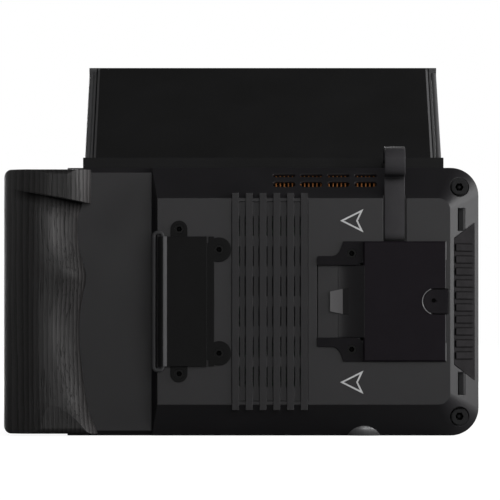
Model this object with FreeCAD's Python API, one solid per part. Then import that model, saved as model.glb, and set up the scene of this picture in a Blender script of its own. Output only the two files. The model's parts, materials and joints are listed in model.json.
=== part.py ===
import FreeCAD
import Part
import math
import os
from FreeCAD import Vector

# Camera field monitor with a wood hand grip and a folding sun hood.
# Millimetres, +Z up, rear toward -Y, screen toward +Y.
# The origin is the mouth of the tripod thread in the bottom face.

# Fits
clearance = 0.2
slip = 0.06
overrun = 3.0

# Screen, which sets the width and height of the housing
active_width = 144.0
active_height = 81.0
glass_side_border = 5.0
glass_end_border = 6.5
glass_thickness = 1.1
gasket_thickness = 0.4
gasket_width = 1.6
ledge_thickness = 1.2
lcd_border = 3.0
lcd_thickness = 5.0
glass_width = active_width + 2 * glass_side_border
glass_height = active_height + 2 * glass_end_border

# Housing envelope, measured from the thread axis
glass_right = 35.0
right_frame = 13.0
left_frame = 5.0
top_frame = 7.5
bottom_frame = 10.5
base_rear = 4.0
plateau_rise = 13.0
split_depth = 13.0
front_depth = 19.0
corner_radius = 11.7
wall = 2.2
edge_bevel = 2.0
side_column = 26.0
bezel_round = 1.5
body_right = glass_right + right_frame
shell_left = glass_width - glass_right + left_frame
body_height = bottom_frame + glass_height + top_frame
screen_centre = glass_width / 2 - glass_right
screen_level = bottom_frame + glass_height / 2
mid_level = body_height / 2

# Raised centre of the rear shell
well_width = 35.3
plateau_left_run = 2.5
slope_run = 13.0
side_slope_run = 12.3
plateau_radius = 5.0
slope_wall_share = 1.5
plateau_wall_share = 0.5
plateau_foot_left = shell_left - well_width

# Tripod thread in its round boss
boss_radius = 8.0
boss_length = 14.0
insert_radius = 5.5
insert_length = 10.0
thread_radius = 2.6
thread_length = 9.0

# Wood grip
grip_reach = 26.8
grip_foot_in = 9.8
grip_groove = 5.6
grip_crest = 16.0
grip_crest_out = 8.0
grip_flank_lean = 1.2
grip_shoulder_in = 5.8
grip_shoulder_drop = 1.5
grip_groove_depth = 4.5
grip_heel_out = 21.5
grip_heel_drop = 6.0
grip_side_depth = 6.0
grip_front_round = 7.5
grip_end_inset = 0.9
grip_corner_radius = 3.4
grip_edge_radius = 2.6
groove_slant_share = -0.19
groove_slant_in = 7.0
ledge_level_share = 0.870
grip_level_shares = (0.870, 0.819, 0.751, 0.676, 0.623, 0.598, 0.556,
                     0.496, 0.406, 0.316, 0.241, 0.166, 0.09, -0.09)
grip_groove_shares = (0.62, 0.92, 1.0, 0.80, 0.46, 0.36, 0.46,
                      0.68, 0.86, 0.80, 0.63, 0.41, 0.1, 0.0)
crest_fade_share = 0.34
heel_fade_share = 0.07
grip_bolt_radius = 1.5
grip_bolt_head_radius = 2.75
grip_bolt_head = 2.0
grip_bolt_length = 18.0
grip_bolt_spread = 26.0
grip_bolt_depth = 5.5
grip_left = shell_left + grip_reach
grip_foot = shell_left - grip_foot_in
grip_crest_place = shell_left + grip_crest_out
grip_heel_place = shell_left + grip_heel_out
groove_slant_place = shell_left - groove_slant_in

# Strap plate and wire bail, placed along the raised centre
strap_half_height = 27.0
strap_sheet = 1.0
strap_rise = 2.2
knuckle_share = 0.947
strap_panel_left_share = 0.9245
strap_panel_right_share = 0.7396
strap_flange_share = 0.7046
left_ear_share = 0.8692
right_ear_share = 0.682
knuckle_radius = 1.8
knuckle_gap = 0.12
bail_wire = 0.8
bail_reach = 3.6
bail_half_height = 28.6
bail_bend = 1.4
bail_pintle = 6.0
left_ear_level = 30.1
left_ear_radius = 3.5
right_ear_level = 21.55
right_ear_radius = 5.1
relief_width = 0.8
relief_length = 2.6
knuckle_place = plateau_foot_left * knuckle_share
strap_panel_left = plateau_foot_left * strap_panel_left_share
strap_panel_right = plateau_foot_left * strap_panel_right_share
strap_flange_right = plateau_foot_left * strap_flange_share
left_ear_place = plateau_foot_left * left_ear_share
right_ear_place = plateau_foot_left * right_ear_share

# Small flat-head screws
small_head_radius = 1.9
small_head = 0.8
small_shank_radius = 1.0
small_length = 2.6
small_socket_radius = 1.15
small_socket_depth = 0.6

# Accessory plate, fork bracket, tongue and latch
plate_left = 0.55
plate_right = 34.1
plate_half_height = 25.0
plate_rise = 2.4
plate_bevel = 0.6
plate_relief = 0.35
plate_relief_share = 0.69
leaf_thickness = 0.6
leaf_inset = 1.6
fork_thickness = 1.3
fork_left = 19.7
fork_arm = 3.8
fork_shoulder = 6.1
fork_shoulder_place = 8.9
fork_curve_run = 4.9
fork_lean_share = 0.18
fork_fall_share = 0.65
fork_sweep_share = 0.45
fork_nose = 0.8
fork_fillet = 3.2
fork_screw_place = 5.3
fork_screw_in = 5.05
recess_depth = 1.4
tongue_left = 14.3
tongue_knee = 9.0
tongue_right = 3.1
tongue_half_left = 4.1
tongue_half_right = 6.5
tongue_rise = 2.0
tongue_knee_rise = 0.7
latch_place = 29.5
latch_radius = 5.0
latch_overhang = 0.5
latch_thickness = 1.5
latch_sink = 0.2
latch_travel = 1.2
latch_stem_radius = 1.6
latch_stem = 3.4
latch_pocket = 5.4
dimple_radius = 0.6
dimple_depth = 0.3
fork_outer = plate_half_height - fork_shoulder
fork_inner = fork_outer - fork_arm
fork_screw_level = plate_half_height - fork_screw_in

# Rib and slit grille, between the strap plate's ears and the fork
rib_width = 2.9
rib_pitch = 5.72
rib_height = 0.9
rib_overhang = 2.2
fork_to_rib = 3.9
ear_to_rib = 0.15
grille_thickness = 1.4
grille_margin = 1.6
slit_width = 0.4
slit_length = 8.2
slit_pitch = 12.54
window_margin = 2.0
rib_right = fork_left + fork_to_rib
grille_span = right_ear_place - right_ear_radius - ear_to_rib - rib_right
rib_count = int((grille_span - rib_width) / rib_pitch) + 1

# Vent slots in the top slope
vent_count = 4
vent_width = 9.4
vent_pitch = 11.35
vent_left = 38.1
vent_low_place = 9.9
vent_low_height = 3.4
vent_high_place = 4.7
vent_high_height = 1.8
vent_depth = 7.5
vent_wall = 1.0
vent_pocket_high = 2.4
vent_pocket_low = 13.2

# Flat ribbon lead, its channel and gland
ribbon_centre = 12.55
ribbon_width = 8.6
ribbon_thickness = 0.8
channel_width = 9.7
channel_depth = 1.2
ribbon_fold_radius = 1.3
ribbon_fold_drop = 3.1
ribbon_fold_reach = 2.2
ribbon_loop_radius = 5.7
ribbon_drop_radius = 4.0
ribbon_entry_depth = 3.0
gland_height = 2.2
gland_margin = 1.4
gland_floor = 0.8

# Right slope: strap slots and rubber pad
slot_width = 4.6
slot_height = 9.4
slot_end = 21.8
slot_place_share = 0.4
slot_depth = 6.0
tunnel_cover = 3.0
pad_left_share = 0.15
pad_right_share = 0.85
pad_short_gap = 8.0
pad_long_gap = 1.4
pad_depth = 0.8
pad_rib_pitch = 5.0
pad_rib_height = 2.6
pad_rib_rise = 0.6
pad_rib_margin = 0.5
slot_level = mid_level - slot_end
pad_half_short = slot_level - pad_short_gap
pad_half_long = slot_level - pad_long_gap
pad_rib_count = int(2 * pad_half_short / pad_rib_pitch)

# Corner case screws
case_screw_in = 8.2
case_screw_low = 8.1
case_screw_drop = 8.2
counterbore_radius = 4.05
counterbore_floor = 6.0
case_head_radius = 3.5
case_head = 3.6
case_shank_radius = 2.0
case_bite = 2.5
case_socket_radius = 1.75
case_socket_depth = 2.0
case_screw_place = body_right - case_screw_in
case_screw_levels = (case_screw_low, body_height - case_screw_drop)
case_shank = counterbore_floor + split_depth + case_bite

# Main board, heat sink and blower
board_rear = 4.0
board_thickness = 1.6
board_left_gap = 5.7
board_right = 19.0
board_bottom = 18.0
board_top_gap = 8.0
post_radius = 2.6
post_inset = 3.2
board_screw_radius = 1.0
board_screw_length = 6.0
board_head_radius = 2.0
board_head = 1.2
sink_left = 42.0
sink_right = 8.0
sink_height = 11.0
sink_base = 1.8
fin_pitch = 1.7
fin_thickness = 0.5
fin_top_gap = 0.5
fin_land_in = 1.0
fin_tuck = 3.0
blower_place = 30.0
blower_gap = 12.0
blower_half = 21.0
blower_depth = 15.0
blower_wall = 1.4
rotor_radius = 17.0
rotor_hub_radius = 7.0
rotor_blades = 15
blade_thickness = 0.8
blade_inner_radius = 11.0
rotor_axial_gap = 0.6
intake_radius = 12.5
spindle_radius = 1.5
board_left = plateau_foot_left - board_left_gap
board_top = body_height - board_top_gap
sink_bottom = board_top - sink_height
blower_level = sink_bottom - blower_gap - blower_half

# Sockets in the right side wall
socket_depth_place = 5.0
socket_shell = 0.35
socket_tongue = 0.8
socket_flush = 0.3
socket_length = 12.0
signal_width = 11.0
signal_height = 3.2
signal_rise = 12.0
usb_width = 8.9
usb_height = 3.2
usb_drop = 10.0
signal_level = mid_level + signal_rise
usb_level = mid_level - usb_drop

# Front controls
button_in = 6.5
button_radius = 3.2
button_crown = 0.3
button_rise = 0.9
button_travel = 0.6
button_length = 3.4
button_skirt = 0.6
button_skirt_length = 0.8
switch_size = 4.6
switch_gap = 0.2
power_drop = 20.0
upper_rise = 10.0
lower_drop = 6.0
dial_out = 13.0
dial_drop = 28.0
dial_radius = 8.5
dial_height = 5.5
dial_sink = 2.0
dial_knurls = 28
knurl_depth = 0.45
dial_crown = 1.2
dial_shaft_radius = 3.0
dial_shaft_seat = 4.0
record_drop = 22.0
record_radius = 5.0
record_ring = 1.2
button_place = body_right - button_in
power_level = body_height - power_drop
function_levels = (mid_level + upper_rise, mid_level - lower_drop)
dial_place = shell_left + dial_out
dial_level = body_height - dial_drop
record_level = dial_level - record_drop

# Sun hood, drawn level and then raised about its hinge
hood_left_in = 6.0
hood_right_in = 14.0
hinge_out = 4.0
hinge_drop = 2.4
hood_length = 92.0
hood_raise = 32.0
hood_sheet = 1.6
hood_bevel = 1.0
hood_lip = 1.3
hood_lip_share = 0.375
hood_knuckle_radius = 2.3
hood_pin_radius = 0.9
hood_lug = 3.5
hood_lug_nose = 3.0
hood_base_height = 4.8
hood_base_wall = 2.4
hood_base_depth = 6.8
hood_base_sheet = 1.8
lug_drop = 3.2
flap_barrel_radius = 1.25
flap_pin_radius = 0.55
flap_sheet = 1.2
flap_drop = 1.05
flap_depth = 50.0
flap_start = 9.2
flap_corner = 6.0
hood_wing_start = 6.4
hood_tip = 1.6
hood_left = shell_left - hood_left_in
hood_right = body_right - hood_right_in
hood_hinge_depth = front_depth + hinge_out
hood_hinge_level = body_height - hinge_drop

# Planes worked out from the sizes above
base_y = -base_rear
plateau_y = base_y - plateau_rise
split_y = split_depth
front_y = front_depth
plateau_left_x = -plateau_foot_left + plateau_left_run
plateau_right_x = body_right - side_slope_run
plateau_top_z = body_height - slope_run
column_x = body_right - side_column


def block(x_pair, y_pair, z_pair):
    size = (x_pair[1] - x_pair[0], y_pair[1] - y_pair[0], z_pair[1] - z_pair[0])
    return Part.makeBox(*size, Vector(x_pair[0], y_pair[0], z_pair[0]))


def rod_x(y, z, radius, x_pair):
    return Part.makeCylinder(radius, x_pair[1] - x_pair[0], Vector(x_pair[0], y, z), Vector(1, 0, 0))


def rod_y(x, z, radius, y_pair):
    return Part.makeCylinder(radius, y_pair[1] - y_pair[0], Vector(x, y_pair[0], z), Vector(0, 1, 0))


def rod_z(x, y, radius, z_pair):
    return Part.makeCylinder(radius, z_pair[1] - z_pair[0], Vector(x, y, z_pair[0]), Vector(0, 0, 1))


def rear_outline(x_pair, z_pair, y, radius):
    """Closed outline in a plane of constant Y, square at the left and rounded at the right corners."""
    left, right = x_pair
    low, high = z_pair
    bend = radius * (1 - math.sqrt(1 / 2))
    a = Vector(left, y, low)
    b = Vector(right - radius, y, low)
    c = Vector(right, y, low + radius)
    d = Vector(right, y, high - radius)
    e = Vector(right - radius, y, high)
    f = Vector(left, y, high)
    low_mid = Vector(right - bend, y, low + bend)
    high_mid = Vector(right - bend, y, high - bend)
    edges = [
        Part.makeLine(a, b),
        Part.Arc(b, low_mid, c).toShape(),
        Part.makeLine(c, d),
        Part.Arc(d, high_mid, e).toShape(),
        Part.makeLine(e, f),
        Part.makeLine(f, a),
    ]
    return Part.Wire(edges)


def slab(x_pair, z_pair, y_pair, radius):
    face = Part.Face(rear_outline(x_pair, z_pair, y_pair[0], radius))
    return face.extrude(Vector(0, y_pair[1] - y_pair[0], 0))


def prism(points, along):
    corners = [Vector(*p) for p in points]
    return Part.Face(Part.makePolygon(corners + corners[:1])).extrude(along)


def rounded_bar(width, height, depth):
    """Round-ended bar on a plane, centred, rising along local Z."""
    radius = height / 2
    middle = Part.makeBox(width - height, height, depth, Vector(radius - width / 2, -radius, 0))
    left = Part.makeCylinder(radius, depth, Vector(radius - width / 2, 0, 0))
    right = Part.makeCylinder(radius, depth, Vector(width / 2 - radius, 0, 0))
    return middle.fuse([left, right]).removeSplitter()


def on_plane(shape, origin, along, across):
    """Carry a shape drawn on the XY plane to an origin with given in-plane directions."""
    along = Vector(along).normalize()
    across = Vector(across).normalize()
    normal = along.cross(across)
    matrix = FreeCAD.Matrix(
        along.x, across.x, normal.x, origin.x,
        along.y, across.y, normal.y, origin.y,
        along.z, across.z, normal.z, origin.z,
        0, 0, 0, 1,
    )
    placed = shape.copy()
    placed.Placement = FreeCAD.Placement(matrix).multiply(shape.Placement)
    return placed


def hexagon(radius, depth):
    corners = []
    for step in range(6):
        angle = math.radians(60 * step)
        corners.append(Vector(radius * math.cos(angle), radius * math.sin(angle), 0))
    return Part.Face(Part.makePolygon(corners + corners[:1])).extrude(Vector(0, 0, depth))


def rear_screw(x, z, head_y, head_radius, head, shank_radius, shank, socket_radius, socket):
    """Screw driven from the rear: its head starts at head_y and its shank runs toward +Y."""
    body = rod_y(x, z, head_radius, (head_y, head_y + head))
    body = body.fuse(rod_y(x, z, shank_radius, (head_y + head / 2, head_y + head + shank)))
    floor = Vector(x, head_y + socket, z)
    pocket = on_plane(hexagon(socket_radius, socket + overrun), floor, (1, 0, 0), (0, 0, 1))
    return body.cut(pocket).removeSplitter()


def small_screw(x, z, head_y):
    return rear_screw(x, z, head_y, small_head_radius, small_head, small_shank_radius, small_length,
                      small_socket_radius, small_socket_depth)


def small_screw_hole(x, z, head_y):
    """Seat for a small screw: a counterbore for its head and a close hole for its shank."""
    seat = rod_y(x, z, small_head_radius + slip, (head_y - overrun, head_y + small_head))
    hole_end = head_y + small_head + small_length + clearance
    return seat.fuse(rod_y(x, z, small_shank_radius + slip, (head_y, hole_end)))


def side_plane(shape, run_share, z):
    """Carry a shape to the right slope: local X runs down the slope, local Y is up, local Z leaves it."""
    slope = Vector(side_slope_run, plateau_rise, 0)
    origin = Vector(plateau_right_x + side_slope_run * run_share, plateau_y + plateau_rise * run_share, z)
    return on_plane(shape, origin, slope, (0, 0, 1))


def top_plane(shape, x, from_edge):
    """Carry a shape to the top slope, at a distance down the slope from the housing's top edge."""
    slope = Vector(0, plateau_rise, slope_run)
    down = Vector(slope).normalize() * from_edge
    return on_plane(shape, Vector(x, base_y, body_height) - down, (1, 0, 0), slope)


def strap_screw_places():
    places = []
    for side in (-1, 1):
        places.append((-left_ear_place, mid_level + side * left_ear_level))
        places.append((-right_ear_place, mid_level + side * right_ear_level))
    return places


def fork_screw_places():
    return [(-fork_screw_place, mid_level + side * fork_screw_level) for side in (-1, 1)]


def board_post_places():
    places = []
    for x in (-board_left + post_inset, board_right - post_inset):
        for z in (board_bottom + post_inset, board_top - post_inset):
            places.append((x, z))
    return places


def shell_outside():
    body = slab((-shell_left, body_right), (0, body_height), (base_y, split_y), corner_radius)
    foot = rear_outline((-plateau_foot_left, body_right), (0, body_height), base_y, corner_radius)
    top = rear_outline((plateau_left_x, plateau_right_x), (slope_run, plateau_top_z),
                       plateau_y, plateau_radius)
    body = body.fuse(Part.makeLoft([foot, top], True, True))
    well = Vector(shell_left - plateau_foot_left, 0, 0)
    low = [(-shell_left, base_y, 0), (-shell_left, base_y, edge_bevel), (-shell_left, base_y + edge_bevel, 0)]
    high = [(x, y, body_height - z) for x, y, z in low]
    return body.cut([prism(low, well), prism(high, well)]).removeSplitter()


def shell_inside():
    floor_y = base_y + wall
    left = -shell_left + wall
    rim = block((left, column_x), (floor_y, split_y + overrun), (wall, body_height - wall))
    margin = wall * slope_wall_share
    rise = wall * plateau_wall_share
    foot = rear_outline((-plateau_foot_left + margin, column_x), (margin, body_height - margin),
                        floor_y, wall)
    top = rear_outline((plateau_left_x + wall, column_x), (slope_run + rise, plateau_top_z - rise),
                       plateau_y + wall, wall)
    return rim.fuse(Part.makeLoft([foot, top], True, True))


def grille_sizes():
    right = -rib_right
    left = right - (rib_count - 1) * rib_pitch - rib_width
    return left, right


def vent_cuts():
    cuts = []
    for place, height in ((vent_low_place, vent_low_height), (vent_high_place, vent_high_height)):
        for step in range(vent_count):
            bar = rounded_bar(vent_width, height, vent_depth + overrun)
            bar.translate(Vector(0, 0, -vent_depth))
            x = -vent_left + vent_width / 2 + step * vent_pitch
            cuts.append(top_plane(bar, x, place))
    width = sink_left + sink_right + 2 * fin_pitch
    length = vent_pocket_low - vent_pocket_high
    pocket = Part.makeBox(width, length, vent_depth - vent_wall, Vector(-fin_pitch, -length, -vent_depth))
    cuts.append(top_plane(pocket, -sink_left, vent_pocket_high))
    return cuts


def strap_slot_cuts():
    cuts = []
    for side in (-1, 1):
        bar = Part.makeBox(slot_width, slot_height, slot_depth + overrun,
                           Vector(-slot_width / 2, -slot_height / 2, -slot_depth))
        cuts.append(side_plane(bar, slot_place_share, mid_level + side * slot_level))
    tunnel = Part.makeBox(slot_width, 2 * slot_level, slot_depth - tunnel_cover,
                          Vector(-slot_width / 2, -slot_level, -slot_depth))
    cuts.append(side_plane(tunnel, slot_place_share, mid_level))
    return cuts


def pad_prism(grow, depth):
    """Slant-ended pad outline on the right slope, sunk by depth."""
    length = math.hypot(side_slope_run, plateau_rise)
    left = length * pad_left_share - grow
    right = length * pad_right_share + grow
    corners = [
        (left, -pad_half_short - grow, 0),
        (right, -pad_half_long - grow, 0),
        (right, pad_half_long + grow, 0),
        (left, pad_half_short + grow, 0),
    ]
    return prism(corners, Vector(0, 0, depth))


def socket_window(width, height, level):
    window = rounded_bar(width + 2 * slip, height + 2 * slip, side_column + 2 * overrun)
    origin = Vector(column_x - overrun, socket_depth_place, level)
    return on_plane(window, origin, (0, 0, 1), (0, -1, 0))


def latch_outline(grow, y_pair):
    radius = latch_radius + grow
    tab = rod_y(latch_place, mid_level, radius, y_pair)
    return tab.fuse(block((latch_place, plate_right + latch_overhang + grow), y_pair,
                          (mid_level - radius, mid_level + radius))).removeSplitter()


def rear_shell():
    shell = shell_outside().cut(shell_inside())
    envelope = shell_outside()
    posts = [rod_y(x, z, post_radius, (plateau_y, board_rear)) for x, z in board_post_places()]
    boss = rod_z(0, 0, boss_radius, (0, boss_length))
    shell = shell.fuse([boss] + [post.common(envelope) for post in posts])
    cuts = vent_cuts() + strap_slot_cuts()
    cuts.append(rod_z(0, 0, insert_radius + slip, (-overrun, insert_length)))
    left, right = grille_sizes()
    seat_z = (slope_run + grille_margin - slip, plateau_top_z - grille_margin + slip)
    cuts.append(block((left - slip, right + slip),
                      (plateau_y - overrun, plateau_y + grille_thickness), seat_z))
    window_z = (seat_z[0] + window_margin, seat_z[1] - window_margin)
    cuts.append(block((left + window_margin, right - window_margin),
                      (plateau_y, plateau_y + wall + overrun), window_z))
    half = channel_width / 2
    cuts.append(block((ribbon_centre - half, ribbon_centre + half),
                      (plateau_y - overrun, plateau_y + channel_depth),
                      (mid_level + plate_half_height, body_height)))
    entry = ribbon_thickness / 2 + clearance
    entry_half = ribbon_width / 2 + clearance
    cuts.append(block((ribbon_centre - entry_half, ribbon_centre + entry_half),
                      (ribbon_entry_depth - entry, ribbon_entry_depth + entry),
                      (body_height - gland_floor, body_height + overrun)))
    cuts.append(block((-fork_left, -plate_left), (plateau_y - overrun, plateau_y + recess_depth),
                      (mid_level - fork_inner, mid_level + fork_inner)))
    cuts.append(latch_outline(clearance, (plateau_y - overrun, plateau_y + latch_travel + clearance)))
    cuts.append(rod_y(latch_place, mid_level, latch_stem_radius + slip,
                      (plateau_y, plateau_y + latch_pocket)))
    for x, z in strap_screw_places():
        cuts.append(small_screw_hole(x, z, plateau_y - strap_sheet))
    for x, z in fork_screw_places():
        cuts.append(small_screw_hole(x, z, plateau_y - fork_thickness))
    pad_cut = pad_prism(clearance, pad_depth + overrun)
    pad_cut.translate(Vector(0, 0, -pad_depth))
    cuts.append(side_plane(pad_cut, 0, mid_level))
    for z in case_screw_levels:
        cuts.append(rod_y(case_screw_place, z, counterbore_radius, (plateau_y, -counterbore_floor)))
        cuts.append(rod_y(case_screw_place, z, case_shank_radius + slip, (plateau_y, split_y + overrun)))
    for x, z in board_post_places():
        cuts.append(rod_y(x, z, board_screw_radius + slip,
                          (board_rear - board_screw_length, board_rear + overrun)))
    for z in grip_bolt_levels():
        cuts.append(rod_x(grip_bolt_depth, z, grip_bolt_radius + slip,
                          (-shell_left - overrun, -shell_left + wall + overrun)))
    lcd_rear = ledge_front() - ledge_thickness - lcd_thickness
    room = 2 * (lcd_border + clearance)
    cuts.append(screen_block(active_width + room, active_height + room,
                             (lcd_rear - clearance, split_y + overrun)))
    cuts.append(socket_window(signal_width, signal_height, signal_level))
    cuts.append(socket_window(usb_width, usb_height, usb_level))
    return shell.cut(cuts).removeSplitter()


def vent_grille():
    left, right = grille_sizes()
    low = slope_run + grille_margin
    high = plateau_top_z - grille_margin
    plate = block((left, right), (plateau_y, plateau_y + grille_thickness), (low, high))
    ribs = []
    cuts = []
    for step in range(rib_count):
        x = left + step * rib_pitch
        ribs.append(block((x, x + rib_width), (plateau_y - rib_height, plateau_y),
                          (slope_run - rib_overhang, plateau_top_z + rib_overhang)))
        if step == rib_count - 1:
            continue
        groove = (x + rib_width, x + rib_pitch)
        slit_rows = int((high - low) / slit_pitch)
        for row in range(slit_rows):
            z = mid_level + (row - (slit_rows - 1) / 2) * slit_pitch
            z_pair = (z - slit_length / 2, z + slit_length / 2)
            y_pair = (plateau_y - overrun, plateau_y + grille_thickness + overrun)
            cuts.append(block((groove[0], groove[0] + slit_width), y_pair, z_pair))
            cuts.append(block((groove[1] - slit_width, groove[1]), y_pair, z_pair))
    return plate.fuse(ribs).cut(cuts).removeSplitter()


def tripod_insert():
    body = rod_z(0, 0, insert_radius, (0, insert_length))
    return body.cut(rod_z(0, 0, thread_radius, (-overrun, thread_length)))


def grip_bolt_levels():
    return mid_level - grip_bolt_spread, mid_level + grip_bolt_spread


def grip_section(level, groove):
    """One closed section on a slanted plane; groove runs from 0 on a crest to 1 in a finger groove."""
    def at(x, y):
        return Vector(x, y, level + groove_slant_share * (x + groove_slant_place))
    foot_x = -grip_foot - grip_groove * groove
    shoulder_y = -grip_crest + grip_shoulder_drop + grip_groove_depth * groove
    crest_y = -grip_crest + grip_groove_depth * groove * crest_fade_share
    heel_y = -grip_crest + grip_heel_drop + grip_groove_depth * groove * heel_fade_share
    foot = at(foot_x, base_y)
    front = at(-grip_left + grip_front_round, front_y)
    rear = Part.BSplineCurve()
    rear.interpolate([
        foot,
        at(foot_x - grip_flank_lean, (base_y + shoulder_y) / 2),
        at(foot_x - grip_shoulder_in, shoulder_y),
        at(-grip_crest_place, crest_y),
        at(-grip_heel_place, heel_y),
        at(-grip_left, grip_side_depth),
        front,
    ])
    inner_front = at(-shell_left, front_y)
    inner_rear = at(-shell_left, base_y)
    edges = [
        Part.makeLine(inner_front, inner_rear),
        Part.makeLine(inner_rear, foot),
        rear.toShape(),
        Part.makeLine(front, inner_front),
    ]
    return Part.Wire(edges)


def grip_limits():
    """Rounded block that trims the grip's ends."""
    low = grip_end_inset
    high = body_height - grip_end_inset
    plan = block((-grip_left, -grip_foot + overrun), (-grip_crest - overrun, front_y + overrun), (low, high))
    corners = [e for e in plan.Edges
               if abs(e.BoundBox.XMax + grip_left) < slip and e.BoundBox.YLength > grip_crest]
    plan = plan.makeFillet(grip_corner_radius, corners)
    side = block((-grip_left - overrun, -grip_foot + overrun), (-grip_crest, front_y), (low, high))
    ends = [e for e in side.Edges
            if e.BoundBox.XLength > grip_groove and abs(e.BoundBox.YMax + grip_crest) < slip]
    return plan.common(side.makeFillet(grip_edge_radius, ends))


def wood_grip():
    lower = [grip_section(body_height * level, groove)
             for level, groove in zip(grip_level_shares, grip_groove_shares)]
    grooves = Part.makeLoft(lower, True, False)
    ledge = body_height * ledge_level_share
    top = Part.makeLoft([grip_section(ledge, 0), grip_section(body_height + grip_crest, 0)], True, True)
    grip = grooves.fuse(top).common(grip_limits())
    cuts = []
    for z in grip_bolt_levels():
        start = -shell_left - grip_bolt_length - clearance
        cuts.append(rod_x(grip_bolt_depth, z, grip_bolt_radius + slip, (start, -shell_left + overrun)))
    cuts.append(rod_y(-dial_place, dial_level, dial_radius + clearance,
                      (front_y - dial_sink, front_y + overrun)))
    cuts.append(rod_y(-dial_place, dial_level, dial_shaft_radius + slip,
                      (front_y - dial_sink - dial_shaft_seat, front_y + overrun)))
    seat = front_y + button_rise - button_length - button_travel
    cuts.append(rod_y(-dial_place, record_level, record_radius + clearance,
                      (seat - clearance, front_y + overrun)))
    return grip.cut(cuts)


def grip_bolts():
    bolts = []
    inner = -shell_left + wall
    middle = inner + grip_bolt_head / 2
    for z in grip_bolt_levels():
        head = rod_x(grip_bolt_depth, z, grip_bolt_head_radius, (inner, inner + grip_bolt_head))
        shank = rod_x(grip_bolt_depth, z, grip_bolt_radius, (-shell_left - grip_bolt_length, middle))
        socket = on_plane(hexagon(grip_bolt_radius, grip_bolt_head), Vector(middle, grip_bolt_depth, z),
                          (0, 1, 0), (0, 0, 1))
        bolts.append(head.fuse(shank).cut(socket).removeSplitter())
    return Part.makeCompound(bolts)


def knuckle_y():
    return plateau_y - knuckle_radius - knuckle_gap


def strap_plate():
    z_pair = (mid_level - strap_half_height, mid_level + strap_half_height)
    sheet_y = plateau_y - strap_sheet
    panel_y = plateau_y - strap_rise
    plate = block((-knuckle_place, -strap_flange_right), (sheet_y, plateau_y), z_pair)
    panel = block((-strap_panel_left, -strap_panel_right), (panel_y, plateau_y), z_pair)
    lip_points = [
        (-knuckle_place, sheet_y, z_pair[0]),
        (-knuckle_place, panel_y, z_pair[0]),
        (-strap_panel_left, panel_y, z_pair[0]),
        (-strap_panel_left, sheet_y, z_pair[0]),
    ]
    lip = prism(lip_points, Vector(0, 0, 2 * strap_half_height))
    knuckle = rod_z(-knuckle_place, knuckle_y(), knuckle_radius, z_pair)
    pieces = [panel, lip, knuckle]
    for side in (-1, 1):
        z = mid_level + side * left_ear_level
        pieces.append(rod_y(-left_ear_place, z, left_ear_radius, (sheet_y, plateau_y)))
        inner = mid_level + side * (strap_half_height - left_ear_radius)
        neck = sorted((z, inner))
        pieces.append(block((-left_ear_place - left_ear_radius, -left_ear_place + left_ear_radius),
                            (sheet_y, plateau_y), neck))
        z = mid_level + side * right_ear_level
        pieces.append(rod_y(-right_ear_place, z, right_ear_radius, (sheet_y, plateau_y)))
    plate = plate.fuse(pieces)
    cuts = [rod_z(-knuckle_place, knuckle_y(), bail_wire + slip, (z_pair[0] - overrun, z_pair[1] + overrun))]
    for side in (-1, 1):
        end = mid_level + side * strap_half_height
        relief = sorted((end - side * relief_length, end + side * overrun))
        cuts.append(block((-strap_panel_right, -strap_panel_right + relief_width),
                          (panel_y - overrun, plateau_y + overrun), relief))
    for x, z in strap_screw_places():
        cuts.append(small_screw_hole(x, z, sheet_y))
    return plate.cut(cuts).removeSplitter()


def bail_path():
    """Centre line of the wire: a bracket whose ends turn back into the knuckle."""
    y = knuckle_y()
    root = -knuckle_place
    leg = root - bail_reach
    tip = bail_half_height - bail_pintle
    bend = bail_bend
    part = bend * (1 - math.sqrt(1 / 2))

    def at(x, z):
        return Vector(x, y, mid_level + z)
    top = bail_half_height
    edges = [
        Part.makeLine(at(root, tip), at(root, top - bend)),
        Part.Arc(at(root, top - bend), at(root - part, top - part), at(root - bend, top)).toShape(),
        Part.makeLine(at(root - bend, top), at(leg + bend, top)),
        Part.Arc(at(leg + bend, top), at(leg + part, top - part), at(leg, top - bend)).toShape(),
        Part.makeLine(at(leg, top - bend), at(leg, bend - top)),
        Part.Arc(at(leg, bend - top), at(leg + part, part - top), at(leg + bend, -top)).toShape(),
        Part.makeLine(at(leg + bend, -top), at(root - bend, -top)),
        Part.Arc(at(root - bend, -top), at(root - part, part - top), at(root, bend - top)).toShape(),
        Part.makeLine(at(root, bend - top), at(root, -tip)),
    ]
    return Part.Wire(edges)


def strap_bail():
    lengths = []
    for edge in bail_path().Edges:
        start = edge.valueAt(edge.FirstParameter)
        along = edge.tangentAt(edge.FirstParameter)
        ring = Part.Face(Part.Wire(Part.makeCircle(bail_wire, start, along)))
        if edge.Curve.TypeId == "Part::GeomCircle":
            turn = math.degrees(edge.Length / bail_bend)
            lengths.append(ring.revolve(edge.Curve.Center, edge.Curve.Axis, turn))
        else:
            lengths.append(ring.extrude(edge.valueAt(edge.LastParameter) - start))
    return lengths[0].fuse(lengths[1:]).removeSplitter()


def strap_plate_screws():
    return Part.makeCompound([small_screw(x, z, plateau_y - strap_sheet) for x, z in strap_screw_places()])


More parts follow.
